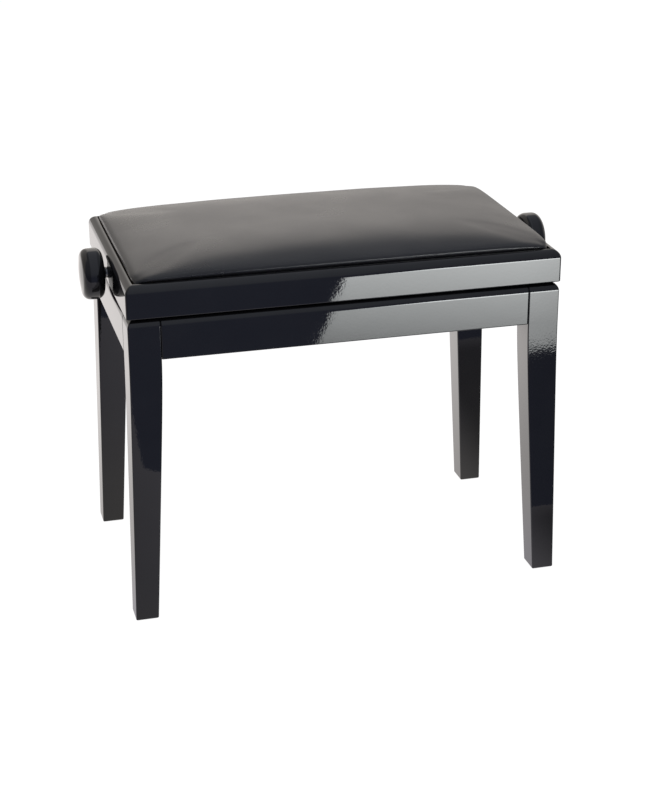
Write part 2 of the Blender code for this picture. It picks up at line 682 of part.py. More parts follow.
def cross_rods():
    """Both rods span the two base channels: one is the fixed pivot, the other slides in the slots."""
    reach = CHANNEL_OUTER_Y + FIT_GAP
    headed_pin("base_pivot_rod", (-PIVOT_X, 0, LOWER_PIVOT_HEIGHT), reach)
    headed_pin("sliding_rod", (FAR_PIVOT_X, 0, LOWER_PIVOT_HEIGHT), reach)


def seat_pivot_pin(name, y_side):
    centre = (-PIVOT_X, y_side * CHANNEL_MIDDLE_Y, SPINDLE_HEIGHT)
    reach = (CHANNEL_OUTER_Y - CHANNEL_INNER_Y) / 2 + FIT_GAP
    headed_pin(f"seat_pivot_pin_{name}", centre, reach)


def crossbar():
    """A square bar across the bench with a journal at each end and a block for the spindle nut."""
    half_y = CHANNEL_INNER_Y - 2 * FIT_GAP
    centre = Vector((FAR_PIVOT_X, 0, SPINDLE_HEIGHT))
    half = Vector((CROSSBAR_HALF, half_y, CROSSBAR_HALF))
    bar = block("crossbar", centre - half, centre + half, STEEL)
    nut_half = Vector((NUT_BLOCK_HALF, NUT_BLOCK_HALF, NUT_BLOCK_HALF))
    nut_block = block("crossbar_nut_block", centre - nut_half, centre + nut_half, STEEL)
    combine(bar, nut_block, "UNION")
    for _, side in FRONT_BACK:
        ends = (half_y - JOIN_OVERLAP, PIVOT_END_Y)
        journal = rod("crossbar_journal", centre, (0, side, 0), PIVOT_RADIUS, *ends, STEEL)
        combine(bar, journal, "UNION")
    cut_rod(bar, centre, (1, 0, 0), NUT_RADIUS + FIT_GAP, -CUT_THROUGH, CUT_THROUGH)


def bored(name, centre, axis, radii, steps, bore, kind, segments=BEARING_SEGMENTS):
    """A turned piece with a straight bore: steps are positions along the axis, radii one per stretch."""
    profile = [(steps[0], bore)]
    for radius, low, high in zip(radii, steps, steps[1:]):
        profile += [(low, radius), (high, radius)]
    profile.append((steps[-1], bore))
    return turned(name, profile, centre, axis, kind, segments)


def spindle_nut():
    """A bronze nut held in the crossbar, with a flange on its outer end."""
    bore = SPINDLE_RADIUS + FIT_GAP
    flange_start = NUT_BLOCK_HALF + FIT_GAP
    steps = (-NUT_HALF_LENGTH, flange_start, flange_start + BUSH_FLANGE)
    radii = (NUT_RADIUS, NUT_FLANGE_RADIUS)
    bored("spindle_nut", (FAR_PIVOT_X, 0, SPINDLE_HEIGHT), (1, 0, 0), radii, steps, bore, BRONZE)


def bush(name, side):
    """A bearing bush in a seat rail, flush outside, with its flange inside."""
    centre = (side * SEAT_X, 0, SPINDLE_HEIGHT)
    inner = RAIL_THICKNESS + FIT_GAP
    steps = (BUSH_SET_BACK, inner, inner + BUSH_FLANGE)
    bore = (SPINDLE_RADIUS + RUNNING_CLEARANCE) / math.cos(math.pi / BEARING_SEGMENTS)
    bored(f"bush_{name}", centre, (-side, 0, 0), (BUSH_RADIUS, BUSH_FLANGE_RADIUS), steps, bore, BRONZE)


def thrust_collar(name, side):
    """A collar that keeps the spindle from sliding, held to it by a grub screw from below."""
    inner = RAIL_THICKNESS + BUSH_FLANGE + 3 * FIT_GAP
    bore = SPINDLE_RADIUS + FIT_GAP
    steps = (inner, inner + COLLAR_WIDTH)
    centre = (side * SEAT_X, 0, SPINDLE_HEIGHT)
    collar = bored(f"thrust_collar_{name}", centre, (-side, 0, 0), (COLLAR_RADIUS,), steps, bore, DARK_STEEL)
    seat = (side * (SEAT_X - inner - COLLAR_WIDTH / 2), 0, SPINDLE_HEIGHT)
    cut_rod(collar, seat, (0, 0, -1), GRUB_SCREW_RADIUS + FIT_GAP, SPINDLE_RADIUS, 2 * COLLAR_RADIUS)
    start = SPINDLE_RADIUS + FIT_GAP
    rod(f"grub_screw_{name}", seat, (0, 0, -1), GRUB_SCREW_RADIUS, start, COLLAR_RADIUS, STEEL, 12)


def knob(name, side):
    """A thick round knob with a hub towards the seat, a blind bore, and a softly domed face."""
    centre = (side * (SEAT_X + KNOB_GAP), 0, SPINDLE_HEIGHT)
    bore = SPINDLE_RADIUS + FIT_GAP
    rim = KNOB_THICKNESS - KNOB_DOME
    face_radius = KNOB_RADIUS - KNOB_OUTER_ROUND
    profile = [(KNOB_BORE_DEPTH, 0), (KNOB_BORE_DEPTH, bore), (-KNOB_HUB, bore)]
    profile += [(-KNOB_HUB, KNOB_HUB_RADIUS), (0, KNOB_HUB_RADIUS)]
    inner_centre = (KNOB_INNER_ROUND, KNOB_RADIUS - KNOB_INNER_ROUND)
    profile += arc(inner_centre, KNOB_INNER_ROUND, 180, 90, 6)
    profile += arc((rim - KNOB_OUTER_ROUND, face_radius), KNOB_OUTER_ROUND, 90, KNOB_FACE_ANGLE, 7)
    for i in range(1, 3):
        radius = face_radius * (1 - i / 3)
        profile.append((rim + KNOB_DOME * (1 - (radius / face_radius) ** 2), radius))
    profile.append((KNOB_THICKNESS, 0))
    turned(f"knob_{name}", profile, centre, (side, 0, 0), LACQUER, KNOB_SEGMENTS)


def spindle():
    """The plain shaft; its screw thread is a surface detail on the stretch that the nut runs on."""
    reach = SEAT_X + KNOB_GAP + KNOB_BORE_DEPTH - 2 * FIT_GAP
    centre = (0, 0, SPINDLE_HEIGHT)
    rod("spindle", centre, (1, 0, 0), SPINDLE_RADIUS, -reach, reach, STEEL, BEARING_SEGMENTS)


def lift():
    for name, side in FRONT_BACK:
        base_channel(name, side)
        seat_channel(name, side)
        scissor(name, side)
        seat_pivot_pin(name, side)
    cross_rods()
    crossbar()
    spindle_nut()
    spindle()
    for name, side in LEFT_RIGHT:
        bush(name, side)
        thrust_collar(name, side)
        knob(name, side)


def carry_by_joints():
    """Parents each moving piece to an empty on its joint's axis, without moving it."""
    pieces = [obj for obj in bpy.data.objects if obj.parent is None]
    empties = {}
    for name, (point, carrier, starts) in JOINTS.items():
        empty = bpy.data.objects.new(name, None)
        bpy.context.scene.collection.objects.link(empty)
        empty.location = point
        empties[name] = empty
        if carrier:
            carry(empty, empties[carrier])
        for piece in [piece for piece in pieces if piece.name.startswith(starts)]:
            pieces.remove(piece)
            carry(piece, empty)


def carry(obj, empty):
    obj.parent = empty
    bpy.context.view_layer.update()
    obj.matrix_parent_inverse = empty.matrix_world.inverted()


def main():
    clear_scene()
    base()
    seat_frame()
    pad_board()
    seat_cushion()
    lift()
    carry_by_joints()


main()
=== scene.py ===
"""Looks of the height-adjustable piano bench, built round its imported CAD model.

Metres, +Z up, and the CAD's own frame: X is the bench's length, Y its depth (the front is -Y), and the
origin is on the floor under its middle.
"""

import json
import math

import bmesh
import bpy
import numpy as np
from mathutils import Euler, Matrix, Vector, noise


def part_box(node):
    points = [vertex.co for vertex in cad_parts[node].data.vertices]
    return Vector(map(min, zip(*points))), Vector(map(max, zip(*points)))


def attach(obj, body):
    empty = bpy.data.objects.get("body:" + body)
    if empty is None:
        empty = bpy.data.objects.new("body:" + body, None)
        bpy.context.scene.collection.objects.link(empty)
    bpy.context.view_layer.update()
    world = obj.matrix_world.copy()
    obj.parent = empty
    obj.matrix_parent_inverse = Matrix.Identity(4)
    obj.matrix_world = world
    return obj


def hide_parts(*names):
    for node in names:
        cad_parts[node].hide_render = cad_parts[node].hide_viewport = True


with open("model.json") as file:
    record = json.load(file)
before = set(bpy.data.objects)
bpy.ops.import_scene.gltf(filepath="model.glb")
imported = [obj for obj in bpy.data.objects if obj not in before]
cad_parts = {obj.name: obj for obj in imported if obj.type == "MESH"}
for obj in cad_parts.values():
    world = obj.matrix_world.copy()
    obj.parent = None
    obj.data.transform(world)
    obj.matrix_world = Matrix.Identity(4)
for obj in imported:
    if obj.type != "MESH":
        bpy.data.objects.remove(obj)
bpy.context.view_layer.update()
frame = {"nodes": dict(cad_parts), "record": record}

RECORD = frame["record"]
BODY_OF = {node: body for body, nodes in RECORD["behaviour"]["bodies"].items() for node in nodes}
SLOT_OF = {entry["node"]: entry["material_slot"] for entry in RECORD["subparts"]}

# Sizes that the CAD's boxes give
SEAT_X, SEAT_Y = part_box("seat_rail_front")[1].x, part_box("seat_rail_back")[1].y
SEAT_BOTTOM, SEAT_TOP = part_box("seat_rail_front")[0].z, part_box("seat_rail_front")[1].z
BASE_X, BASE_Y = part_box("apron_right")[1].x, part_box("apron_back")[1].y
APRON_BOTTOM, BASE_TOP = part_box("apron_front")[0].z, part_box("apron_front")[1].z
SPINDLE_HEIGHT = (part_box("spindle")[0].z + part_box("spindle")[1].z) / 2
BOARD_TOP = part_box("pad_board")[1].z
NUT_X = (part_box("crossbar")[0].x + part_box("crossbar")[1].x) / 2

# Sizes that repeat the CAD's
FIT_GAP = 0.0003
RAIL_THICKNESS = 0.020
RAIL_ROUND = 0.011
REBATE_HEIGHT = 0.431
SMALL_ARRIS = 0.0014
LEG_WIDTH = 0.0405
FOOT_WIDTH_X = 0.0292
FOOT_WIDTH_Y = 0.0315
FOOT_FLARE_X = 0.0075
FOOT_FLARE_Y = 0.0035
FOOT_HEIGHT = 0.0018
FOOT_ROUND = 0.002
TAPER_EASE = 0.12
APRON_THICKNESS = 0.020
BASE_ROUND = 0.0108
LEG_ARRIS = 0.0014
GLIDE_RADIUS = 0.010
GLIDE_THICKNESS = 0.0015
BOLT_RADIUS = 0.003
BOLT_HEAD_RADIUS = 0.0055
BOLT_HEAD_HEIGHT = 0.005
PIVOT_RADIUS = 0.004
HEAD_RADIUS = 0.0062
HEAD_THICKNESS = 0.0016
SPINDLE_RADIUS = 0.006
BUSH_RADIUS = 0.007
BUSH_FLANGE_RADIUS = 0.0105
BUSH_FLANGE = 0.002
BUSH_BORE = 0.00613
COLLAR_RADIUS = 0.0115
COLLAR_WIDTH = 0.010
GRUB_SCREW_RADIUS = 0.002
NUT_RADIUS = 0.0085
NUT_FLANGE_RADIUS = 0.011
NUT_HALF_LENGTH = 0.014
KNOB_RADIUS = 0.0328
KNOB_THICKNESS = 0.030
KNOB_GAP = 0.0045
KNOB_HUB_RADIUS = 0.0073
KNOB_HUB = 0.0035
KNOB_BORE_DEPTH = 0.020
KNOB_INNER_ROUND = 0.010
KNOB_OUTER_ROUND = 0.010
KNOB_DOME = 0.0018
KNOB_FACE_ANGLE = 8
SCREW_HEAD_RADIUS = 0.004
SCREW_HEAD_HEIGHT = 0.0022
SCREW_RADIUS = 0.0019

# Sizes of the fine detail
SEAT_CORNER_ROUND = 0.0025
SEAT_CORNER_INNER_ROUND = 0.001
RAIL_TOP_EASE = 0.0004
SHARP_ANGLE = math.radians(35)
THREAD_PITCH = 0.003
THREAD_DEPTH = 0.0012
THREAD_START, THREAD_END = 0.155, 0.2425
CHAMFER = 0.0004

# The pad. PAD_ROLL lists (outwards, share of PAD_ROLL_HEIGHT) points of its rolled edge.
PAD_MARGIN = 0.0008
PAD_CELL = 0.0050
PAD_EDGE_HEIGHT = 0.4478
PAD_CROWN = 0.0176
PAD_CORNER_DROP = 0.52
PAD_BOW = 0.4
PAD_FULLNESS_X = 6
PAD_FULLNESS_Y = 4
PAD_ROLL_HEIGHT = 0.0106
PAD_ROLL = ((0.0, 0.0), (0.0007, 0.13), (0.0021, 0.34), (0.0027, 0.60), (0.0015, 0.87), (-0.0026, 1.0))
PAD_HELD_RISE = 0.0009
PAD_SIM_SPARE = 0.0010
PAD_SIM_DROP = 0.0006
PAD_CORNER_ROUND = 0.017
PAD_SEAM_CORNER_ROUND = 0.004
PAD_CORNER_RINGS = 3
PAD_SWELL_LIMIT = 0.0004
PAD_UNEVENNESS = 0.0004
PAD_UNEVENNESS_PER_METRE = 16.0
PAD_FRAMES = 20

FRONT_BACK = (("front", -1), ("back", 1))
LEFT_RIGHT = (("left", -1), ("right", 1))
CORNERS = [(f"{y}_{x}", x_side, y_side) for y, y_side in FRONT_BACK for x, x_side in LEFT_RIGHT]


# Materials ----------------------------------------------------------------------------------------


def new_material(name, metallic=0.0, roughness=0.5):
    """A node material, as its node tree and its main shader."""
    made = bpy.data.materials.new(name + "_finish")
    made.use_nodes = True
    shader = made.node_tree.nodes["Principled BSDF"]
    shader.inputs["Metallic"].default_value = metallic
    shader.inputs["Roughness"].default_value = roughness
    return made, made.node_tree, shader


def own_coordinates(tree, stretch=(1, 1, 1)):
    """The piece's own coordinates in metres, stretched along its axes."""
    source = tree.nodes.new("ShaderNodeTexCoord")
    mapping = tree.nodes.new("ShaderNodeMapping")
    mapping.inputs["Scale"].default_value = stretch
    tree.links.new(source.outputs["Object"], mapping.inputs["Vector"])
    return mapping.outputs["Vector"]


def noise_value(tree, scale, detail=2.0, stretch=(1, 1, 1)):
    """Fractal noise with scale features per metre."""
    texture = tree.nodes.new("ShaderNodeTexNoise")
    texture.inputs["Scale"].default_value = scale
    texture.inputs["Detail"].default_value = detail
    tree.links.new(own_coordinates(tree, stretch), texture.inputs["Vector"])
    return texture.outputs["Fac"]


def cell_value(tree, scale, feature="F1", stretch=(1, 1, 1)):
    """Distance from the middle or the edge of random cells, scale of them per metre."""
    texture = tree.nodes.new("ShaderNodeTexVoronoi")
    texture.feature = feature
    texture.inputs["Scale"].default_value = scale
    tree.links.new(own_coordinates(tree, stretch), texture.inputs["Vector"])
    return texture.outputs["Distance"]


def remap(tree, value, low, high, to_low, to_high):
    mapped = tree.nodes.new("ShaderNodeMapRange")
    mapped.interpolation_type = "SMOOTHSTEP"
    for socket, number in zip(("From Min", "From Max", "To Min", "To Max"), (low, high, to_low, to_high)):
        mapped.inputs[socket].default_value = number
    tree.links.new(value, mapped.inputs["Value"])
    return mapped.outputs["Result"]


def colours(tree, value, stops):
    """A colour ramp over value; stops lists (position, (red, green, blue))."""
    ramp = tree.nodes.new("ShaderNodeValToRGB")
    elements = ramp.color_ramp.elements
    while len(elements) < len(stops):
        elements.new(1.0)
    for element, (position, colour) in zip(elements, stops):
        element.position = position
        element.color = (*colour, 1.0)
    tree.links.new(value, ramp.inputs["Fac"])
    return ramp.outputs["Color"]


def math_node(tree, operation, first, second):
    """One operation on two values, each a socket or a number."""
    made = tree.nodes.new("ShaderNodeMath")
    made.operation = operation
    for socket, value in zip(made.inputs, (first, second)):
        if isinstance(value, (int, float)):
            socket.default_value = value
        else:
            tree.links.new(value, socket)
    return made.outputs["Value"]


def bump(tree, shader, layers):
    """Adds relief to a shader; layers lists (height value, depth in metres)."""
    normal = None
    for height, depth in layers:
        made = tree.nodes.new("ShaderNodeBump")
        made.inputs["Strength"].default_value = 1.0
        made.inputs["Distance"].default_value = depth
        tree.links.new(height, made.inputs["Height"])
        if normal:
            tree.links.new(normal, made.inputs["Normal"])
        normal = made.outputs["Normal"]
    tree.links.new(normal, shader.inputs["Normal"])


def lacquer():
    """Polished black lacquer: faint haze, fine orange peel, and a slow wave from the wood beneath."""
    made, tree, shader = new_material("black_lacquer")
    haze = noise_value(tree, 22.0, 4.0)
    tint = colours(tree, haze, [(0.3, (0.0034, 0.0034, 0.0042)), (0.7, (0.0054, 0.0054, 0.0062))])
    tree.links.new(tint, shader.inputs["Base Color"])
    tree.links.new(remap(tree, haze, 0.35, 0.7, 0.014, 0.028), shader.inputs["Roughness"])
    bump(tree, shader, [(noise_value(tree, 38.0, 1.0), 1.9e-5), (noise_value(tree, 430.0, 1.0), 1.0e-5)])
    return made


def leatherette():
    """Smooth black leatherette: a fine pebbled grain, and a slightly uneven sheen."""
    made, tree, shader = new_material("black_leatherette")
    patches = noise_value(tree, 14.0, 3.0)
    tint = colours(tree, patches, [(0.3, (0.0080, 0.0080, 0.0092)), (0.7, (0.0125, 0.0125, 0.0140))])
    tree.links.new(tint, shader.inputs["Base Color"])
    tree.links.new(remap(tree, patches, 0.3, 0.7, 0.27, 0.32), shader.inputs["Roughness"])
    pebbles = cell_value(tree, 950.0, "DISTANCE_TO_EDGE")
    bump(tree, shader, [(noise_value(tree, 90.0, 3.0), 5.0e-5), (pebbles, 6.0e-5)])
    return made


def plywood():
    """Birch plywood: veneer grain on its faces, and bands of plies on its edges."""
    made, tree, shader = new_material("plywood", roughness=0.6)
    grain = noise_value(tree, 60.0, 6.0, (0.12, 1.0, 1.0))
    veneer = [(0.3, (0.52, 0.38, 0.24)), (0.55, (0.60, 0.46, 0.31)), (0.8, (0.44, 0.30, 0.18))]
    face = colours(tree, grain, veneer)
    position = tree.nodes.new("ShaderNodeSeparateXYZ")
    tree.links.new(own_coordinates(tree), position.inputs["Vector"])
    ply_count = 5
    thickness = BOARD_TOP - REBATE_HEIGHT - FIT_GAP
    plies = math_node(tree, "MULTIPLY", position.outputs["Z"], ply_count * math.pi / thickness)
    band = remap(tree, math_node(tree, "SINE", plies, 0.0), -0.4, 0.4, 0.0, 1.0)
    edge = colours(tree, band, [(0.0, (0.34, 0.22, 0.12)), (1.0, (0.56, 0.42, 0.27))])
    surface = tree.nodes.new("ShaderNodeNewGeometry")
    facing = tree.nodes.new("ShaderNodeSeparateXYZ")
    tree.links.new(surface.outputs["Normal"], facing.inputs["Vector"])
    flat = remap(tree, math_node(tree, "ABSOLUTE", facing.outputs["Z"], 0.0), 0.6, 0.8, 0.0, 1.0)
    mixed = tree.nodes.new("ShaderNodeMix")
    mixed.data_type = "RGBA"
    tree.links.new(flat, mixed.inputs["Factor"])
    tree.links.new(edge, mixed.inputs["A"])
    tree.links.new(face, mixed.inputs["B"])
    tree.links.new(mixed.outputs["Result"], shader.inputs["Base Color"])
    bump(tree, shader, [(grain, 1.2e-4)])
    return made


def beech():
    """Planed beech: pale pinkish wood with short dark flecks."""
    made, tree, shader = new_material("beech", roughness=0.55)
    grain = noise_value(tree, 45.0, 5.0, (0.2, 0.2, 1.0))
    flecks = cell_value(tree, 420.0, stretch=(0.22, 0.22, 1.0))
    wood = math_node(tree, "MULTIPLY", grain, remap(tree, flecks, 0.05, 0.22, 0.55, 1.0))
    pinkish = [(0.2, (0.30, 0.17, 0.09)), (0.42, (0.49, 0.31, 0.18)), (0.65, (0.58, 0.39, 0.24))]
    tree.links.new(colours(tree, wood, pinkish), shader.inputs["Base Color"])
    bump(tree, shader, [(wood, 1.0e-4)])
    return made


def metal(name, dark, light, roughness, line_depth, metallic=1.0):
    """Worked metal: uneven tint and polish, with fine lines from rolling or turning."""
    made, tree, shader = new_material(name, metallic)
    patches = noise_value(tree, 70.0, 5.0)
    tree.links.new(colours(tree, patches, [(0.3, dark), (0.7, light)]), shader.inputs["Base Color"])
    tree.links.new(remap(tree, patches, 0.3, 0.7, *roughness), shader.inputs["Roughness"])
    bump(tree, shader, [(noise_value(tree, 1400.0, 2.0, (0.04, 1.0, 1.0)), line_depth)])
    return made


def nylon():
    """Moulded black nylon with a fine matt texture."""
    made, tree, shader = new_material("black_nylon")
    texture = noise_value(tree, 900.0, 2.0)
    tint = colours(tree, texture, [(0.3, (0.016, 0.016, 0.018)), (0.7, (0.026, 0.026, 0.028))])
    tree.links.new(tint, shader.inputs["Base Color"])
    tree.links.new(remap(tree, texture, 0.3, 0.7, 0.45, 0.6), shader.inputs["Roughness"])
    bump(tree, shader, [(texture, 4.0e-5)])
    return made


def zinc_plated_steel():
    return metal("zinc_plated_steel", (0.52, 0.54, 0.57), (0.68, 0.67, 0.63), (0.26, 0.40), 2.5e-5)


def blackened_steel():
    dark, light = (0.022, 0.022, 0.026), (0.055, 0.053, 0.052)
    return metal("blackened_steel", dark, light, (0.32, 0.5), 3.0e-5, 0.9)


def bronze():
    return metal("bronze", (0.42, 0.25, 0.10), (0.62, 0.41, 0.19), (0.25, 0.42), 2.0e-5)


MATERIALS = {
    "black_lacquer": lacquer(),
    "black_leatherette": leatherette(),
    "plywood": plywood(),
    "beech": beech(),
    "zinc_plated_steel": zinc_plated_steel(),
    "blackened_steel": blackened_steel(),
    "bronze": bronze(),
    "black_nylon": nylon(),
}


# Mesh tools ---------------------------------------------------------------------------------------


def arc(centre, radius, start, end, steps):
    """Points on a circular arc in a plane; the angles are in degrees."""
    points = []
    for i in range(steps + 1):
        angle = math.radians(start + (end - start) * i / steps)
        points.append((centre[0] + radius * math.cos(angle), centre[1] + radius * math.sin(angle)))
    return points


def shade(mesh):
    """Smooth shading that breaks at sharp edges."""
    mesh.shade_smooth()
    mesh.set_sharp_from_angle(angle=SHARP_ANGLE)


def finished(name, shape):
    """Turns a closed bmesh into an object whose normals point outwards."""
    bmesh.ops.recalc_face_normals(shape, faces=shape.faces)
    if shape.calc_volume(signed=True) < 0:
        bmesh.ops.reverse_faces(shape, faces=shape.faces)
    mesh = bpy.data.meshes.new(name)
    shape.to_mesh(mesh)
    shape.free()
    shade(mesh)
    obj = bpy.data.objects.new(name, mesh)
    bpy.context.scene.collection.objects.link(obj)
    return obj


def bridge(shape, low, high):
    count = len(low)
    for i in range(count):
        j = (i + 1) % count
        shape.faces.new((low[i], low[j], high[j], high[i]))


def loft(name, sections, ring=False):
    """A closed solid through rings of points: with flat ends, or as a ring that joins up."""
    shape = bmesh.new()
    rings = [[shape.verts.new(point) for point in section] for section in sections]
    for low, high in zip(rings, rings[1:]):
        bridge(shape, low, high)
    if ring:
        bridge(shape, rings[-1], rings[0])
    else:
        shape.faces.new(rings[0][::-1])
        shape.faces.new(rings[-1])
    return finished(name, shape)


def facing(centre, axis):
    """The placement that sends the origin to centre and +Z to axis."""
    turn = Vector((0, 0, 1)).rotation_difference(Vector(axis))
    return Matrix.Translation(centre) @ turn.to_matrix().to_4x4()


def turned(name, profile, centre, axis, segments=48):
    """A solid of revolution. The profile lists (distance along the axis, radius) and closes on itself."""
    place_at = facing(centre, axis)
    shape = bmesh.new()
    rings = []
    for along, radius in profile:
        count = 1 if radius == 0 else segments
        ring = []
        for i in range(count):
            angle = 2 * math.pi * (i + 0.5) / segments
            point = Vector((radius * math.cos(angle), radius * math.sin(angle), along))
            ring.append(shape.verts.new(place_at @ point))
        rings.append(ring)
    pairs = list(zip(rings, rings[1:]))
    if profile[0][1] > 0:
        pairs.append((rings[-1], rings[0]))
    for low, high in pairs:
        for i in range(segments):
            j = (i + 1) % segments
            if len(low) == 1:
                shape.faces.new((low[0], high[j], high[i]))
            elif len(high) == 1:
                shape.faces.new((low[i], low[j], high[0]))
            else:
                shape.faces.new((low[i], low[j], high[j], high[i]))
    return finished(name, shape)


def prism(name, outline, low, high, place_at, taper=1.0):
    """A straight solid over an outline in its own XY plane; taper scales the outline at the high end."""
    sections = []
    for height, scale in ((low, 1.0), (high, taper)):
        sections.append([place_at @ Vector((x * scale, y * scale, height)) for x, y in outline])
    return loft(name, sections)


def bake_modifiers(obj):
    """Applies an object's modifiers to its mesh."""
    bpy.context.view_layer.update()
    result = obj.evaluated_get(bpy.context.evaluated_depsgraph_get())
    mesh = bpy.data.meshes.new_from_object(result)
    old = obj.data
    obj.modifiers.clear()
    obj.data = mesh
    bpy.data.meshes.remove(old)


def combine(obj, other, operation="DIFFERENCE"):
    """Cuts another shape out of an object, or joins it on, and removes the other shape."""
    modifier = obj.modifiers.new("Combine", "BOOLEAN")
    modifier.operation = operation
    modifier.solver = "EXACT"
    modifier.object = other
    bake_modifiers(obj)
    bpy.data.objects.remove(other, do_unlink=True)
    shade(obj.data)


def place(piece, *nodes):
    """Makes a piece stand for CAD nodes: it rides on their body and takes the finish of their slot."""
    slot = SLOT_OF[nodes[0]]
    piece.data.materials.clear()
    piece.data.materials.append(MATERIALS[slot])
    even_out = piece.modifiers.new("Even normals", "WEIGHTED_NORMAL")
    even_out.keep_sharp = True
    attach(piece, BODY_OF[nodes[0]])
    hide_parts(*nodes)
    return piece


def middle(node):
    low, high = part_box(node)
    return (low + high) / 2


# Seat frame and knobs -----------------------------------------------------------------------------


def rounded_rectangle(x_range, y_range, radius, height, steps):
    (x_low, x_high), (y_low, y_high) = x_range, y_range
    outline = []
    centres = (
        (x_high - radius, y_high - radius, 0),
        (x_low + radius, y_high - radius, 90),
        (x_low + radius, y_low + radius, 180),
        (x_high - radius, y_low + radius, 270),
    )
    for x, y, start in centres:
        outline += arc((x, y), radius, start, start + 90, steps)
    return [(x, y, height) for x, y in outline]


def seat_rail_profile():
    """(inward, height) points of the seat frame: rounded outer shoulder, and a rebate for the board."""
    points = arc((SMALL_ARRIS, SEAT_BOTTOM + SMALL_ARRIS), SMALL_ARRIS, 270, 180, 6)
    shoulder = arc((RAIL_ROUND, SEAT_TOP - RAIL_ROUND), RAIL_ROUND, 180, 90, 18)
    points += [point for point in shoulder if point[0] < RAIL_ROUND - RAIL_TOP_EASE]
    top_centre = (RAIL_ROUND - RAIL_TOP_EASE, SEAT_TOP - RAIL_TOP_EASE)
    points += arc(top_centre, RAIL_TOP_EASE, 90, 0, 5)
    points.append((RAIL_ROUND, REBATE_HEIGHT))
    rebate_centre = (RAIL_THICKNESS - CHAMFER, REBATE_HEIGHT - CHAMFER)
    points += arc(rebate_centre, CHAMFER, 90, 0, 2)
    points += arc((RAIL_THICKNESS - CHAMFER, SEAT_BOTTOM + CHAMFER), CHAMFER, 0, -90, 2)
    return points


def seat_frame():
    """The four mitred rails under one unbroken coat of lacquer."""
    sections = []
    for inward, height in seat_rail_profile():
        share = min(1.0, inward / RAIL_ROUND)
        radius = SEAT_CORNER_ROUND + (SEAT_CORNER_INNER_ROUND - SEAT_CORNER_ROUND) * share
        half_x = SEAT_X - inward
        half_y = SEAT_Y - inward
        sections.append(rounded_rectangle((-half_x, half_x), (-half_y, half_y), radius, height, 6))
    piece = loft("seat_frame", sections, ring=True)
    for _, side in LEFT_RIGHT:
        centre = (side * SEAT_X, 0, SPINDLE_HEIGHT)
        reach = 2 * RAIL_THICKNESS
        hole = [(-reach, 0), (-reach, BUSH_RADIUS + FIT_GAP), (reach, BUSH_RADIUS + FIT_GAP), (reach, 0)]
        combine(piece, turned("bush_hole", hole, centre, (1, 0, 0)))
    place(piece, "seat_rail_front", "seat_rail_back", "seat_rail_left", "seat_rail_right")


def knob(name, side):
    """A thick round knob with a hub towards the seat, a blind bore, and a softly domed face."""
    centre = (side * (SEAT_X + KNOB_GAP), 0, SPINDLE_HEIGHT)
    bore = SPINDLE_RADIUS + FIT_GAP
    rim = KNOB_THICKNESS - KNOB_DOME
    face_radius = KNOB_RADIUS - KNOB_OUTER_ROUND
    profile = [(KNOB_BORE_DEPTH, 0), (KNOB_BORE_DEPTH, bore), (CHAMFER - KNOB_HUB, bore)]
    profile += [(-KNOB_HUB, bore + CHAMFER), (-KNOB_HUB, KNOB_HUB_RADIUS - CHAMFER)]
    profile += [(CHAMFER - KNOB_HUB, KNOB_HUB_RADIUS), (-CHAMFER, KNOB_HUB_RADIUS)]
    profile.append((0, KNOB_HUB_RADIUS + CHAMFER))
    inner_centre = (KNOB_INNER_ROUND, KNOB_RADIUS - KNOB_INNER_ROUND)
    profile += arc(inner_centre, KNOB_INNER_ROUND, 180, 90, 14)
    profile += arc((rim - KNOB_OUTER_ROUND, face_radius), KNOB_OUTER_ROUND, 90, KNOB_FACE_ANGLE, 18)
    dome_steps = 8
    for i in range(1, dome_steps):
        radius = face_radius * (1 - i / dome_steps)
        profile.append((rim + KNOB_DOME * (1 - (radius / face_radius) ** 2), radius))
    profile.append((KNOB_THICKNESS, 0))
    place(turned(f"knob_{name}_polished", profile, centre, (side, 0, 0), 96), f"knob_{name}")


# Base ---------------------------------------------------------------------------------------------


def leg_section(height, trim_all=0.0, trim_outer=0.0):
    """Outline of a leg at +X +Y. Below the aprons it tapers, easing into the taper near the top."""
    down = max(0.0, (APRON_BOTTOM - height) / APRON_BOTTOM)
    ease = math.hypot(1, TAPER_EASE) - TAPER_EASE
    taper = (math.hypot(down, TAPER_EASE) - TAPER_EASE) / ease
    outer_x = BASE_X + FOOT_FLARE_X * taper
    outer_y = BASE_Y + FOOT_FLARE_Y * taper
    inner_x = outer_x - LEG_WIDTH + (LEG_WIDTH - FOOT_WIDTH_X) * taper
    inner_y = outer_y - LEG_WIDTH + (LEG_WIDTH - FOOT_WIDTH_Y) * taper
    x_range = (inner_x + trim_all, outer_x - trim_all - trim_outer)
    y_range = (inner_y + trim_all, outer_y - trim_all - trim_outer)
    return rounded_rectangle(x_range, y_range, LEG_ARRIS, height, 5)


def leg_sections():
    sections = []
    for run, rise in arc((FOOT_ROUND, FOOT_ROUND), FOOT_ROUND, 270, 180, 6):
        sections.append(leg_section(FOOT_HEIGHT + rise, trim_all=run))
    taper_steps = 26
    start = FOOT_HEIGHT + FOOT_ROUND
    for i in range(1, taper_steps + 1):
        share = math.sin(math.pi / 2 * i / taper_steps)
        sections.append(leg_section(start + (APRON_BOTTOM - start) * share))
    for run, height in arc((BASE_ROUND, BASE_TOP - BASE_ROUND), BASE_ROUND, 180, 90, 12):
        sections.append(leg_section(height, trim_outer=run))
    return sections


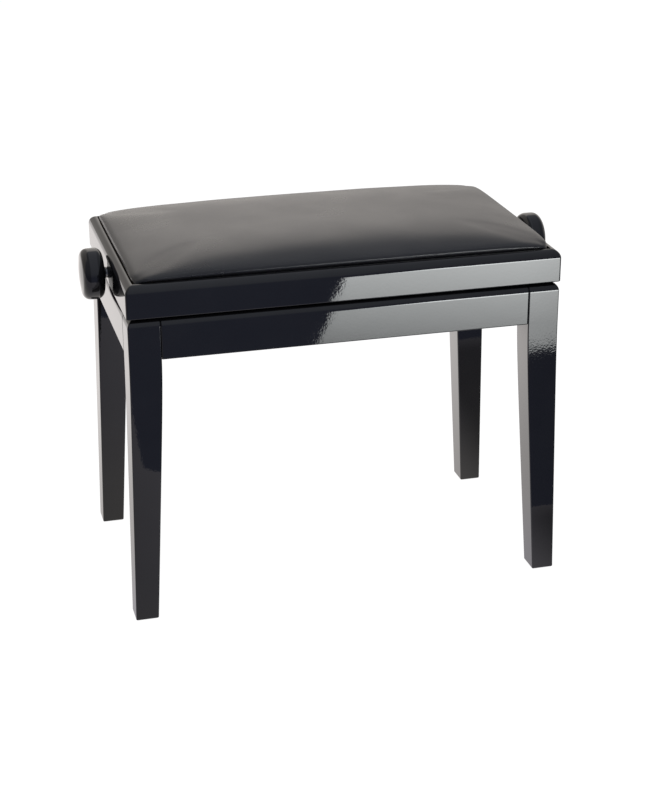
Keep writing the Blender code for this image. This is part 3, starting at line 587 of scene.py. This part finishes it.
def leg(name, x_side, y_side):
    sections = [[(x * x_side, y * y_side, z) for x, y, z in section] for section in leg_sections()]
    piece = loft(f"leg_{name}_polished", sections)
    outwards = Vector((x_side, y_side, 0)).normalized()
    bolt = middle(f"corner_bolt_{name}")
    reach = (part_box(f"corner_bolt_{name}")[1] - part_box(f"corner_bolt_{name}")[0]).length / 2
    hole_radius = BOLT_RADIUS + FIT_GAP
    hole = [(-reach, 0), (-reach, hole_radius), (reach, hole_radius), (reach, 0)]
    combine(piece, turned("bolt_hole", hole, bolt, outwards))
    place(piece, f"leg_{name}")


def apron_profile(set_back):
    """(inward, height) points of an apron: rounded top shoulder and eased lower edges."""
    shoulder = (BASE_ROUND + set_back, BASE_TOP - BASE_ROUND)
    points = arc((SMALL_ARRIS + set_back, APRON_BOTTOM + SMALL_ARRIS), SMALL_ARRIS, 270, 180, 6)
    points += arc(shoulder, BASE_ROUND, 180, 90, 12)
    points += arc((APRON_THICKNESS - CHAMFER, BASE_TOP - CHAMFER), CHAMFER, 90, 0, 2)
    points += arc((APRON_THICKNESS - SMALL_ARRIS, APRON_BOTTOM + SMALL_ARRIS), SMALL_ARRIS, 0, -90, 5)
    return points


def apron(name, half_length, half_depth, turn):
    """An apron along the side that faces -Y before it is turned about Z. Its ends are eased."""
    about_z = Matrix.Rotation(turn, 3, "Z")
    end = half_length - LEG_WIDTH - FIT_GAP
    easing = [(end - LEG_ARRIS + x, LEG_ARRIS - y) for x, y in arc((0, 0), LEG_ARRIS, 90, 0, 6)]
    stations = [(-along, set_back) for along, set_back in reversed(easing)] + easing
    sections = []
    for along, set_back in stations:
        section = []
        for inward, height in apron_profile(set_back):
            section.append(about_z @ Vector((along, inward - half_depth, height)))
        sections.append(section)
    place(loft(f"apron_{name}_polished", sections), f"apron_{name}")


def glide(name):
    """A nylon glide nail's head with a worn round edge."""
    low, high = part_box(f"glide_{name}")
    centre = ((low.x + high.x) / 2, (low.y + high.y) / 2, 0)
    edge = 0.0006
    profile = [(0, 0), (0, GLIDE_RADIUS - edge)]
    profile += [(height, radius) for radius, height in arc((GLIDE_RADIUS - edge, edge), edge, -75, 0, 5)]
    profile += [(GLIDE_THICKNESS, GLIDE_RADIUS), (GLIDE_THICKNESS, 0)]
    place(turned(f"glide_{name}_moulded", profile, centre, (0, 0, 1)), f"glide_{name}")


def corner_bolt(name, x_side, y_side):
    """A hexagon bolt with a chamfered head on a round washer face."""
    outwards = Vector((x_side, y_side, 0)).normalized()
    low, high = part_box(f"corner_bolt_{name}")
    tip_corner = Vector((high.x if x_side > 0 else low.x, high.y if y_side > 0 else low.y, 0))
    tip = outwards * (tip_corner.dot(outwards) - BOLT_RADIUS)
    across = Vector((-outwards.y, outwards.x, 0))
    tip += across * middle(f"corner_bolt_{name}").dot(across)
    length = 0.034
    seat = tip - outwards * length
    seat.z = (low.z + high.z) / 2
    place_at = facing(seat, outwards)
    hexagon = arc((0, 0), BOLT_HEAD_RADIUS, 0, 300, 5)
    piece = prism(f"corner_bolt_{name}_forged", hexagon, -BOLT_HEAD_HEIGHT, -2 * CHAMFER, place_at)
    crown = [
        (-BOLT_HEAD_HEIGHT, 0),
        (-BOLT_HEAD_HEIGHT, BOLT_HEAD_RADIUS * 0.88),
        (-BOLT_HEAD_HEIGHT + 2 * CHAMFER, BOLT_HEAD_RADIUS * 1.02),
        (CHAMFER, BOLT_HEAD_RADIUS * 1.02),
        (CHAMFER, 0),
    ]
    combine(piece, turned("head_crown", crown, seat, outwards), "INTERSECT")
    shank = [
        (-BOLT_HEAD_HEIGHT / 2, 0),
        (-BOLT_HEAD_HEIGHT / 2, BOLT_HEAD_RADIUS * 0.82),
        (0, BOLT_HEAD_RADIUS * 0.82),
        (0, BOLT_RADIUS),
        (length - 2 * CHAMFER, BOLT_RADIUS),
        (length, BOLT_RADIUS - 2 * CHAMFER),
        (length, 0),
    ]
    combine(piece, turned("shank", shank, seat, outwards), "UNION")
    place(piece, f"corner_bolt_{name}")


# Lift ---------------------------------------------------------------------------------------------


def eased(node, width, segments=2):
    """A copy of a CAD node's solid with its edges eased."""
    mesh = frame["nodes"][node].data.copy()
    if "custom_normal" in mesh.attributes:
        mesh.attributes.remove(mesh.attributes["custom_normal"])
    piece = bpy.data.objects.new(f"{node}_eased", mesh)
    bpy.context.scene.collection.objects.link(piece)
    weld = piece.modifiers.new("Weld", "WELD")
    weld.merge_threshold = 1e-5
    flatten = piece.modifiers.new("Flatten", "DECIMATE")
    flatten.decimate_type = "DISSOLVE"
    flatten.angle_limit = math.radians(1)
    bevel = piece.modifiers.new("Bevel", "BEVEL")
    bevel.width = width
    bevel.segments = segments
    bevel.limit_method = "ANGLE"
    bevel.angle_limit = math.radians(40)
    bevel.use_clamp_overlap = True
    bake_modifiers(piece)
    shade(piece.data)
    place(piece, node)


def pan_head_screw(node, axis_index, side, length):
    """A pan-head wood screw with a cross recess; it points along side times one axis."""
    direction = Vector((0, 0, 0))
    direction[axis_index] = side
    low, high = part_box(node)
    seat = middle(node)
    seat[axis_index] = (low if side > 0 else high)[axis_index] + side * SCREW_HEAD_HEIGHT
    profile = [(-SCREW_HEAD_HEIGHT, 0)]
    crown_steps = 9
    for i in range(1, crown_steps + 1):
        angle = math.pi / 2 * i / crown_steps
        rise = SCREW_HEAD_HEIGHT * math.cos(angle) ** 0.55 if i < crown_steps else 0.0
        profile.append((-max(rise, 0.0004), SCREW_HEAD_RADIUS * math.sin(angle) ** 0.8))
    profile += [(0, SCREW_HEAD_RADIUS - 0.0001), (0, SCREW_RADIUS)]
    profile += [(length - 2 * SCREW_RADIUS, SCREW_RADIUS), (length, 0)]
    piece = turned(f"{node}_driven", profile, seat, direction, 32)
    slot_half_length, slot_half_width, slot_depth = 0.0017, 0.00042, 0.0014
    place_at = facing(seat, direction)
    for turn in (0, math.pi / 2):
        outline = []
        for x, y in ((1, 1), (-1, 1), (-1, -1), (1, -1)):
            outline.append((x * slot_half_length, y * slot_half_width))
        start = -SCREW_HEAD_HEIGHT - CHAMFER
        end = -SCREW_HEAD_HEIGHT + slot_depth
        turned_place = place_at @ Matrix.Rotation(turn, 4, "Z")
        combine(piece, prism("recess", outline, start, end, turned_place, 0.45))
    place(piece, node)


def headed_pin(node):
    """A pivot pin along Y with a domed head at each end."""
    low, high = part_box(node)
    reach = (high.y - low.y) / 2 - HEAD_THICKNESS
    head = [(reach, PIVOT_RADIUS), (reach, HEAD_RADIUS - CHAMFER), (reach + CHAMFER, HEAD_RADIUS)]
    dome = HEAD_THICKNESS - 2 * CHAMFER
    for i in range(7):
        angle = math.pi / 2 * i / 6
        head.append((reach + 2 * CHAMFER + dome * math.sin(angle), HEAD_RADIUS * math.cos(angle) ** 0.7))
    head[-1] = (reach + HEAD_THICKNESS, 0)
    profile = [(-along, radius) for along, radius in reversed(head)] + head
    place(turned(f"{node}_domed", profile, middle(node), (0, 1, 0)), node)


def bored(node, axis, steps, radii, bore, centre, suffix):
    """A turned piece with a straight bore and chamfered ends: one radius for each stretch."""
    profile = [(steps[0], bore + CHAMFER)]
    for radius, low, high in zip(radii, steps, steps[1:]):
        profile += [(low, radius - CHAMFER), (low + CHAMFER, radius)]
        profile += [(high - CHAMFER, radius), (high, radius - CHAMFER)]
    profile += [(steps[-1], bore + CHAMFER), (steps[-1] - CHAMFER, bore), (steps[0] + CHAMFER, bore)]
    return turned(f"{node}_{suffix}", profile, centre, axis, 64)


def bush(name, side):
    low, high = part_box(f"bush_{name}")
    outer = SEAT_X - (high.x if side > 0 else -low.x)
    inner = SEAT_X - (low.x if side > 0 else -high.x)
    steps = (outer, inner - BUSH_FLANGE, inner)
    centre = (side * SEAT_X, 0, SPINDLE_HEIGHT)
    radii = (BUSH_RADIUS, BUSH_FLANGE_RADIUS)
    place(bored(f"bush_{name}", (-side, 0, 0), steps, radii, BUSH_BORE, centre, "turned"), f"bush_{name}")


def spindle_nut():
    low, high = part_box("spindle_nut")
    steps = (-NUT_HALF_LENGTH, high.x - NUT_X - BUSH_FLANGE, high.x - NUT_X)
    centre = (NUT_X, 0, SPINDLE_HEIGHT)
    radii = (NUT_RADIUS, NUT_FLANGE_RADIUS)
    piece = bored("spindle_nut", (1, 0, 0), steps, radii, SPINDLE_RADIUS + FIT_GAP, centre, "turned")
    place(piece, "spindle_nut")


def thrust_collar(name):
    """A chamfered collar with a tapped hole, and the grub screw that fills it."""
    centre = middle(f"thrust_collar_{name}")
    centre.z = SPINDLE_HEIGHT
    half = COLLAR_WIDTH / 2
    bore = SPINDLE_RADIUS + FIT_GAP
    piece = bored(f"thrust_collar_{name}", (1, 0, 0), (-half, half), (COLLAR_RADIUS,), bore, centre, "turned")
    hole_radius = GRUB_SCREW_RADIUS + FIT_GAP
    hole = [(SPINDLE_RADIUS, 0), (SPINDLE_RADIUS, hole_radius)]
    hole += [(2 * COLLAR_RADIUS, hole_radius), (2 * COLLAR_RADIUS, 0)]
    combine(piece, turned("grub_hole", hole, centre, (0, 0, -1)))
    place(piece, f"thrust_collar_{name}")
    profile = [
        (bore, 0),
        (bore, GRUB_SCREW_RADIUS - CHAMFER),
        (bore + CHAMFER, GRUB_SCREW_RADIUS),
        (COLLAR_RADIUS - CHAMFER, GRUB_SCREW_RADIUS),
        (COLLAR_RADIUS, GRUB_SCREW_RADIUS - CHAMFER),
        (COLLAR_RADIUS, 0),
    ]
    screw = turned(f"grub_screw_{name}_socketed", profile, centre, (0, 0, -1))
    socket_radius, socket_depth = 0.00115, 0.0022
    hexagon = arc((0, 0), socket_radius, 0, 300, 5)
    place_at = facing(centre, (0, 0, -1))
    combine(screw, prism("socket", hexagon, COLLAR_RADIUS - socket_depth, COLLAR_RADIUS + CHAMFER, place_at))
    place(screw, f"grub_screw_{name}")


def thread_height(x, angle):
    """How far the trapezoid thread lies below the shaft's surface, from 0 to THREAD_DEPTH."""
    phase = (x / THREAD_PITCH - angle / (2 * math.pi)) % 1.0
    from_crest = abs(phase - 0.5) * 2
    crest, root = 0.36, 0.64
    groove = min(1.0, max(0.0, (from_crest - crest) / (root - crest)))
    run_out = 0.002
    fade = min(1.0, max(0.0, (x - THREAD_START) / run_out), max(0.0, (THREAD_END - x) / run_out))
    return THREAD_DEPTH * groove * max(0.0, fade)


def spindle():
    """The shaft, with its trapezoid screw thread on the stretch that the nut runs on."""
    low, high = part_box("spindle")
    segments, steps_per_turn = 40, 12
    stations = [(low.x, CHAMFER), (low.x + CHAMFER, 0.0)]
    count = round((THREAD_END - THREAD_START) / THREAD_PITCH * steps_per_turn)
    stations += [(THREAD_START + (THREAD_END - THREAD_START) * i / count, 0.0) for i in range(count + 1)]
    stations += [(high.x - CHAMFER, 0.0), (high.x, CHAMFER)]
    sections = []
    for x, trim in stations:
        section = []
        for i in range(segments):
            angle = 2 * math.pi * i / segments
            radius = SPINDLE_RADIUS - trim
            if THREAD_START < x < THREAD_END:
                radius -= thread_height(x, angle)
            section.append((x, radius * math.cos(angle), SPINDLE_HEIGHT + radius * math.sin(angle)))
        sections.append(section)
    place(loft("spindle_threaded", sections), "spindle")


# Pad ----------------------------------------------------------------------------------------------


def rounded_plan(x, y, half_x, half_y, radius):
    """Moves a point of a rectangle's grid so that the rectangle's corners are round."""
    over_x = abs(x) - (half_x - radius)
    over_y = abs(y) - (half_y - radius)
    if over_x <= 0 or over_y <= 0:
        return x, y
    scale = max(over_x, over_y) / math.hypot(over_x, over_y)
    return (
        math.copysign(half_x - radius + over_x * scale, x),
        math.copysign(half_y - radius + over_y * scale, y),
    )


def pad_height(u, v, roll_share):
    """Height of the pad's top: a rolled edge, lower at the corners, and a crown inside it."""
    roll = PAD_ROLL_HEIGHT * roll_share * (1 - PAD_CORNER_DROP * (u * v) ** PAD_FULLNESS_X)
    crown = (1 - PAD_BOW * u * u) * (1 - abs(u) ** PAD_FULLNESS_X) * (1 - abs(v) ** PAD_FULLNESS_Y)
    return PAD_EDGE_HEIGHT + roll + (PAD_CROWN - PAD_SIM_DROP) * crown


def pad_point(i, j, columns, rows, half_x, half_y):
    """A point of the pad's top. The grid's rings follow the edge: the outer ones make the rolled edge."""
    ring = min(i, j, columns - i, rows - j)
    last = len(PAD_ROLL) - 1
    out, roll_share = PAD_ROLL[min(ring, last)]
    out -= max(0, ring - last) * PAD_CELL
    ring_x, ring_y = half_x + out, half_y + out
    x = (i - columns / 2) / max(columns / 2 - ring, 1) * ring_x
    y = (j - rows / 2) / max(rows / 2 - ring, 1) * ring_y
    height = pad_height(min(1.0, abs(x) / half_x), min(1.0, abs(y) / half_y), roll_share)
    fuller = min(1.0, ring / PAD_CORNER_RINGS) * (PAD_CORNER_ROUND - PAD_SEAM_CORNER_ROUND)
    x, y = rounded_plan(x, y, ring_x, ring_y, max(0.0, PAD_SEAM_CORNER_ROUND + fuller + out))
    if ring > last:
        height += PAD_UNEVENNESS * noise.noise(Vector((x, y, 0)) * PAD_UNEVENNESS_PER_METRE)
    return x, y, height


def pad_shape():
    """The pad before it is inflated, as a closed grid."""
    half_x = SEAT_X - RAIL_ROUND - PAD_MARGIN - PAD_SIM_SPARE
    half_y = SEAT_Y - RAIL_ROUND - PAD_MARGIN - PAD_SIM_SPARE
    edge_rings = len(PAD_ROLL) - 1
    columns = 2 * (round((half_x + PAD_ROLL[-1][0]) / PAD_CELL) + edge_rings)
    rows = 2 * (round((half_y + PAD_ROLL[-1][0]) / PAD_CELL) + edge_rings)
    bottom_height = BOARD_TOP + FIT_GAP
    shape = bmesh.new()
    top, bottom, waist = {}, {}, {}
    for i in range(columns + 1):
        for j in range(rows + 1):
            top[i, j] = shape.verts.new(pad_point(i, j, columns, rows, half_x, half_y))
            across = (2 * i / columns - 1) * half_x
            along = (2 * j / rows - 1) * half_y
            x, y = rounded_plan(across, along, half_x, half_y, PAD_SEAM_CORNER_ROUND)
            bottom[i, j] = shape.verts.new((x, y, bottom_height))
            if i in (0, columns) or j in (0, rows):
                waist[i, j] = shape.verts.new((x, y, (bottom_height + PAD_EDGE_HEIGHT) / 2))
    for i in range(columns):
        for j in range(rows):
            keys = ((i, j), (i + 1, j), (i + 1, j + 1), (i, j + 1))
            shape.faces.new([top[key] for key in keys])
            shape.faces.new([bottom[key] for key in reversed(keys)])
    border = [(i, 0) for i in range(columns)]
    border += [(columns, j) for j in range(rows)]
    border += [(i, rows) for i in range(columns, 0, -1)]
    border += [(0, j) for j in range(rows, 0, -1)]
    for here, after in zip(border, border[1:] + border[:1]):
        shape.faces.new((bottom[here], bottom[after], waist[after], waist[here]))
        shape.faces.new((waist[here], waist[after], top[after], top[here]))
    return finished("seat_cushion_upholstered", shape)


def inflate(pad):
    """Lets cloth simulation fill the pad, and holds its bottom and sides where the frame holds them."""
    start = np.array([vertex.co for vertex in pad.data.vertices])
    held = pad.vertex_groups.new(name="held")
    held.add([int(i) for i in np.nonzero(start[:, 2] < SEAT_TOP + PAD_HELD_RISE)[0]], 1.0, "ADD")
    cloth = pad.modifiers.new("Cloth", "CLOTH")
    settings = cloth.settings
    settings.vertex_group_mass = "held"
    settings.use_pressure = True
    settings.uniform_pressure_force = 4.0
    settings.effector_weights.gravity = 0.0
    settings.tension_stiffness = 30.0
    settings.compression_stiffness = 5.0
    settings.bending_stiffness = 10.0
    settings.quality = 6
    cloth.point_cache.frame_end = PAD_FRAMES
    for number in range(1, PAD_FRAMES + 1):
        bpy.context.scene.frame_set(number)
    result = pad.evaluated_get(bpy.context.evaluated_depsgraph_get()).to_mesh()
    moved = np.array([vertex.co for vertex in result.vertices]) - start
    pad.modifiers.clear()
    bpy.context.scene.frame_set(1)
    length = np.linalg.norm(moved, axis=1, keepdims=True)
    limit = PAD_SWELL_LIMIT * np.tanh(length / PAD_SWELL_LIMIT)
    return start + moved * limit / np.maximum(length, 1e-9)


def seat_cushion():
    """The padded seat: stretched leatherette over foam, crowned, and tucked down inside the frame."""
    pad = pad_shape()
    points = inflate(pad)
    pad.data.vertices.foreach_set("co", points.ravel())
    pad.data.update()
    smooth = pad.modifiers.new("Smooth", "SMOOTH")
    smooth.iterations = 1
    smooth.factor = 0.5
    subdivide = pad.modifiers.new("Subdivide", "SUBSURF")
    subdivide.levels = 1
    subdivide.render_levels = 1
    bake_modifiers(pad)
    pad.data.shade_smooth()
    place(pad, "seat_cushion")


# Studio -------------------------------------------------------------------------------------------


def stage_plane(name, corners, emission, diffuse=0.0):
    """A flat studio surface; emission is a function that sets up its glow."""
    mesh = bpy.data.meshes.new(name)
    mesh.from_pydata(corners, [], [tuple(range(len(corners)))])
    obj = bpy.data.objects.new(name, mesh)
    bpy.context.scene.collection.objects.link(obj)
    made = bpy.data.materials.new(name + "_paint")
    made.use_nodes = True
    tree = made.node_tree
    tree.nodes.clear()
    output = tree.nodes.new("ShaderNodeOutputMaterial")
    glow = tree.nodes.new("ShaderNodeEmission")
    emission(tree, glow)
    surface = glow.outputs["Emission"]
    if diffuse:
        matt = tree.nodes.new("ShaderNodeBsdfDiffuse")
        matt.inputs["Color"].default_value = (diffuse, diffuse, diffuse, 1.0)
        both = tree.nodes.new("ShaderNodeAddShader")
        tree.links.new(surface, both.inputs[0])
        tree.links.new(matt.outputs["BSDF"], both.inputs[1])
        surface = both.outputs["Shader"]
    tree.links.new(surface, output.inputs["Surface"])
    mesh.materials.append(made)
    return obj


def seen_only_in_reflections(obj):
    obj.visible_camera = False
    obj.visible_diffuse = False
    obj.visible_shadow = False
    obj.visible_transmission = False


def place_sockets(tree):
    """The X, Y and Z of the shaded point."""
    surface = tree.nodes.new("ShaderNodeNewGeometry")
    parts = tree.nodes.new("ShaderNodeSeparateXYZ")
    tree.links.new(surface.outputs["Position"], parts.inputs["Vector"])
    return parts.outputs["X"], parts.outputs["Y"], parts.outputs["Z"]


def white_floor(tree, glow):
    glow.inputs["Strength"].default_value = 1.0


def floor_glow(tree, glow):
    """The lit floor as the lacquer sees it: brightest behind the bench, dim at its left and far right."""
    x, y, _ = place_sockets(tree)
    share = remap(tree, y, -0.35, 0.15, 0.0, 1.0)
    tint = colours(tree, share, [(0.0, (0.93, 0.90, 1.0)), (1.0, (1.0, 0.955, 0.935))])
    tree.links.new(tint, glow.inputs["Color"])
    behind = remap(tree, y, 0.0, 0.8, 0.0, 1.0)
    near = remap(tree, y, -0.30, 0.05, 0.95, 1.10)
    strength = math_node(tree, "ADD", near, math_node(tree, "MULTIPLY", behind, 0.75))
    far_right = remap(tree, x, 0.24, 0.36, 0.0, 0.75)
    rear_share = remap(tree, y, -0.45, -0.30, 0.0, 1.0)
    right_dim = math_node(tree, "SUBTRACT", 1.0, math_node(tree, "MULTIPLY", far_right, rear_share))
    left_dim = remap(tree, x, -0.30, -0.02, 0.69, 1.08)
    across = math_node(tree, "MULTIPLY", right_dim, left_dim)
    tree.links.new(math_node(tree, "MULTIPLY", strength, across), glow.inputs["Strength"])


def panel_glow(tree, glow):
    """A large soft panel at the front right, brighter towards its top."""
    x, _, z = place_sockets(tree)
    glow.inputs["Color"].default_value = (0.97, 1.0, 1.0, 1.0)
    rise = math_node(tree, "MULTIPLY", math_node(tree, "ADD", z, 0.56), 22.0)
    across = math_node(tree, "MULTIPLY", math_node(tree, "ADD", x, -1.0), 3.0)
    strength = math_node(tree, "ADD", math_node(tree, "ADD", rise, across), 9.0)
    far_dim = remap(tree, x, 1.32, 1.55, 1.0, 0.86)
    tree.links.new(math_node(tree, "MULTIPLY", strength, far_dim), glow.inputs["Strength"])


def studio_world():
    """White behind the bench for the camera; for reflections, a band of light low at the rear.

    The band ends higher towards the left, and fades towards both sides.
    """
    world = bpy.data.worlds.new("studio")
    bpy.context.scene.world = world
    world.use_nodes = True
    tree = world.node_tree
    tree.nodes.clear()
    output = tree.nodes.new("ShaderNodeOutputWorld")
    direction = tree.nodes.new("ShaderNodeTexCoord")
    parts = tree.nodes.new("ShaderNodeSeparateXYZ")
    tree.links.new(direction.outputs["Generated"], parts.inputs["Vector"])
    rear = [
        (0.0, (0.92, 0.87, 0.82)),
        (0.61, (1.22, 1.16, 1.11)),
        (0.67, (0.42, 0.43, 0.46)),
        (1.0, (0.45, 0.48, 0.55)),
    ]
    front = [
        (0.0, (0.17, 0.19, 0.29)),
        (0.48, (0.19, 0.21, 0.31)),
        (0.62, (0.36, 0.385, 0.46)),
        (1.0, (0.45, 0.48, 0.55)),
    ]
    up = math_node(tree, "MULTIPLY", math_node(tree, "ADD", parts.outputs["Z"], 1.0), 0.5)
    mixed = tree.nodes.new("ShaderNodeMix")
    mixed.data_type = "RGBA"
    tree.links.new(remap(tree, parts.outputs["Y"], -0.25, 0.15, 0.0, 1.0), mixed.inputs["Factor"])
    tree.links.new(colours(tree, up, front), mixed.inputs["A"])
    leaning = math_node(tree, "MULTIPLY", math_node(tree, "ADD", parts.outputs["X"], -0.25), 0.45)
    height = math_node(tree, "ADD", parts.outputs["Z"], leaning)
    tree.links.new(colours(tree, height, rear), mixed.inputs["B"])
    surroundings = tree.nodes.new("ShaderNodeBackground")
    tree.links.new(mixed.outputs["Result"], surroundings.inputs["Color"])
    left_dim = remap(tree, parts.outputs["X"], -0.15, 0.10, 0.52, 1.06)
    right_dim = remap(tree, parts.outputs["X"], 0.17, 0.50, 1.12, 0.68)
    tree.links.new(math_node(tree, "MULTIPLY", left_dim, right_dim), surroundings.inputs["Strength"])
    white = tree.nodes.new("ShaderNodeBackground")
    light_path = tree.nodes.new("ShaderNodeLightPath")
    choose = tree.nodes.new("ShaderNodeMixShader")
    white.inputs["Color"].default_value = (1.0, 1.0, 1.0, 1.0)
    tree.links.new(light_path.outputs["Is Camera Ray"], choose.inputs["Fac"])
    tree.links.new(surroundings.outputs["Background"], choose.inputs[1])
    tree.links.new(white.outputs["Background"], choose.inputs[2])
    tree.links.new(choose.outputs["Shader"], output.inputs["Surface"])


def studio():
    studio_world()
    far = 12.0
    floor = [(-far, -far, 0), (far, -far, 0), (far, far, 0), (-far, far, 0)]
    shown = stage_plane("floor", floor, white_floor, diffuse=0.06)
    shown.visible_glossy = False
    below = -0.0005
    edge = [(-far, -1.1), (-0.17, -1.0), (-0.195, -0.66), (-0.10, -0.58), (0.25, -0.36), (far, -0.36)]
    lit = [(x, y, below) for x, y in edge + [(far, far), (-far, far)]]
    seen_only_in_reflections(stage_plane("floor_reflection", lit, floor_glow))
    outline = [(0.678, -0.768), (1.40, -0.768), (1.60, -0.771), (1.95, -0.72), (1.95, 0.10), (1.015, 0.10)]
    panel = [(x, -3.0, z) for x, z in outline]
    seen_only_in_reflections(stage_plane("front_panel", panel, panel_glow))
    light = bpy.data.lights.new("overhead", "AREA")
    light.shape = "RECTANGLE"
    light.size, light.size_y = 2.4, 1.8
    light.energy = 40.0
    overhead = bpy.data.objects.new("overhead", light)
    overhead.location = (0, -0.2, 2.4)
    overhead.visible_glossy = False
    bpy.context.scene.collection.objects.link(overhead)
    bpy.context.scene.view_settings.view_transform = "Standard"


def camera():
    data = bpy.data.cameras.new("camera")
    data.lens = 79.492
    data.sensor_width = 36.0
    data.clip_end = 50.0
    obj = bpy.data.objects.new("camera", data)
    obj.location = (-0.54847, -2.13261, 1.10704)
    obj.rotation_euler = Euler([math.radians(angle) for angle in (67.969, 0.295, -14.790)], "XYZ")
    bpy.context.scene.collection.objects.link(obj)
    bpy.context.scene.camera = obj


# Build --------------------------------------------------------------------------------------------


def build():
    seat_frame()
    for name, x_side, y_side in CORNERS:
        leg(name, x_side, y_side)
        glide(name)
        corner_bolt(name, x_side, y_side)
        eased(f"corner_block_{name}", 0.0006)
    apron("front", BASE_X, BASE_Y, 0)
    apron("back", BASE_X, BASE_Y, math.pi)
    for name, side in LEFT_RIGHT:
        apron(name, BASE_Y, BASE_X, side * math.pi / 2)
        knob(name, side)
        bush(name, side)
        thrust_collar(name)
        for y_name, _ in FRONT_BACK:
            pan_head_screw(f"tab_screw_{y_name}_{name}", 0, side, 0.014)
            pan_head_screw(f"channel_screw_{y_name}_{name}", 2, 1, 0.0085)
    for name, _ in FRONT_BACK:
        for node in ("base_channel", "seat_channel", "arm_a", "arm_b"):
            eased(f"{node}_{name}", 0.0004)
        for node in ("centre_pin", "seat_pivot_pin"):
            headed_pin(f"{node}_{name}")
    headed_pin("base_pivot_rod")
    headed_pin("sliding_rod")
    eased("crossbar", 0.0005)
    eased("pad_board", 0.0005)
    spindle_nut()
    spindle()
    seat_cushion()
    studio()
    camera()


build()
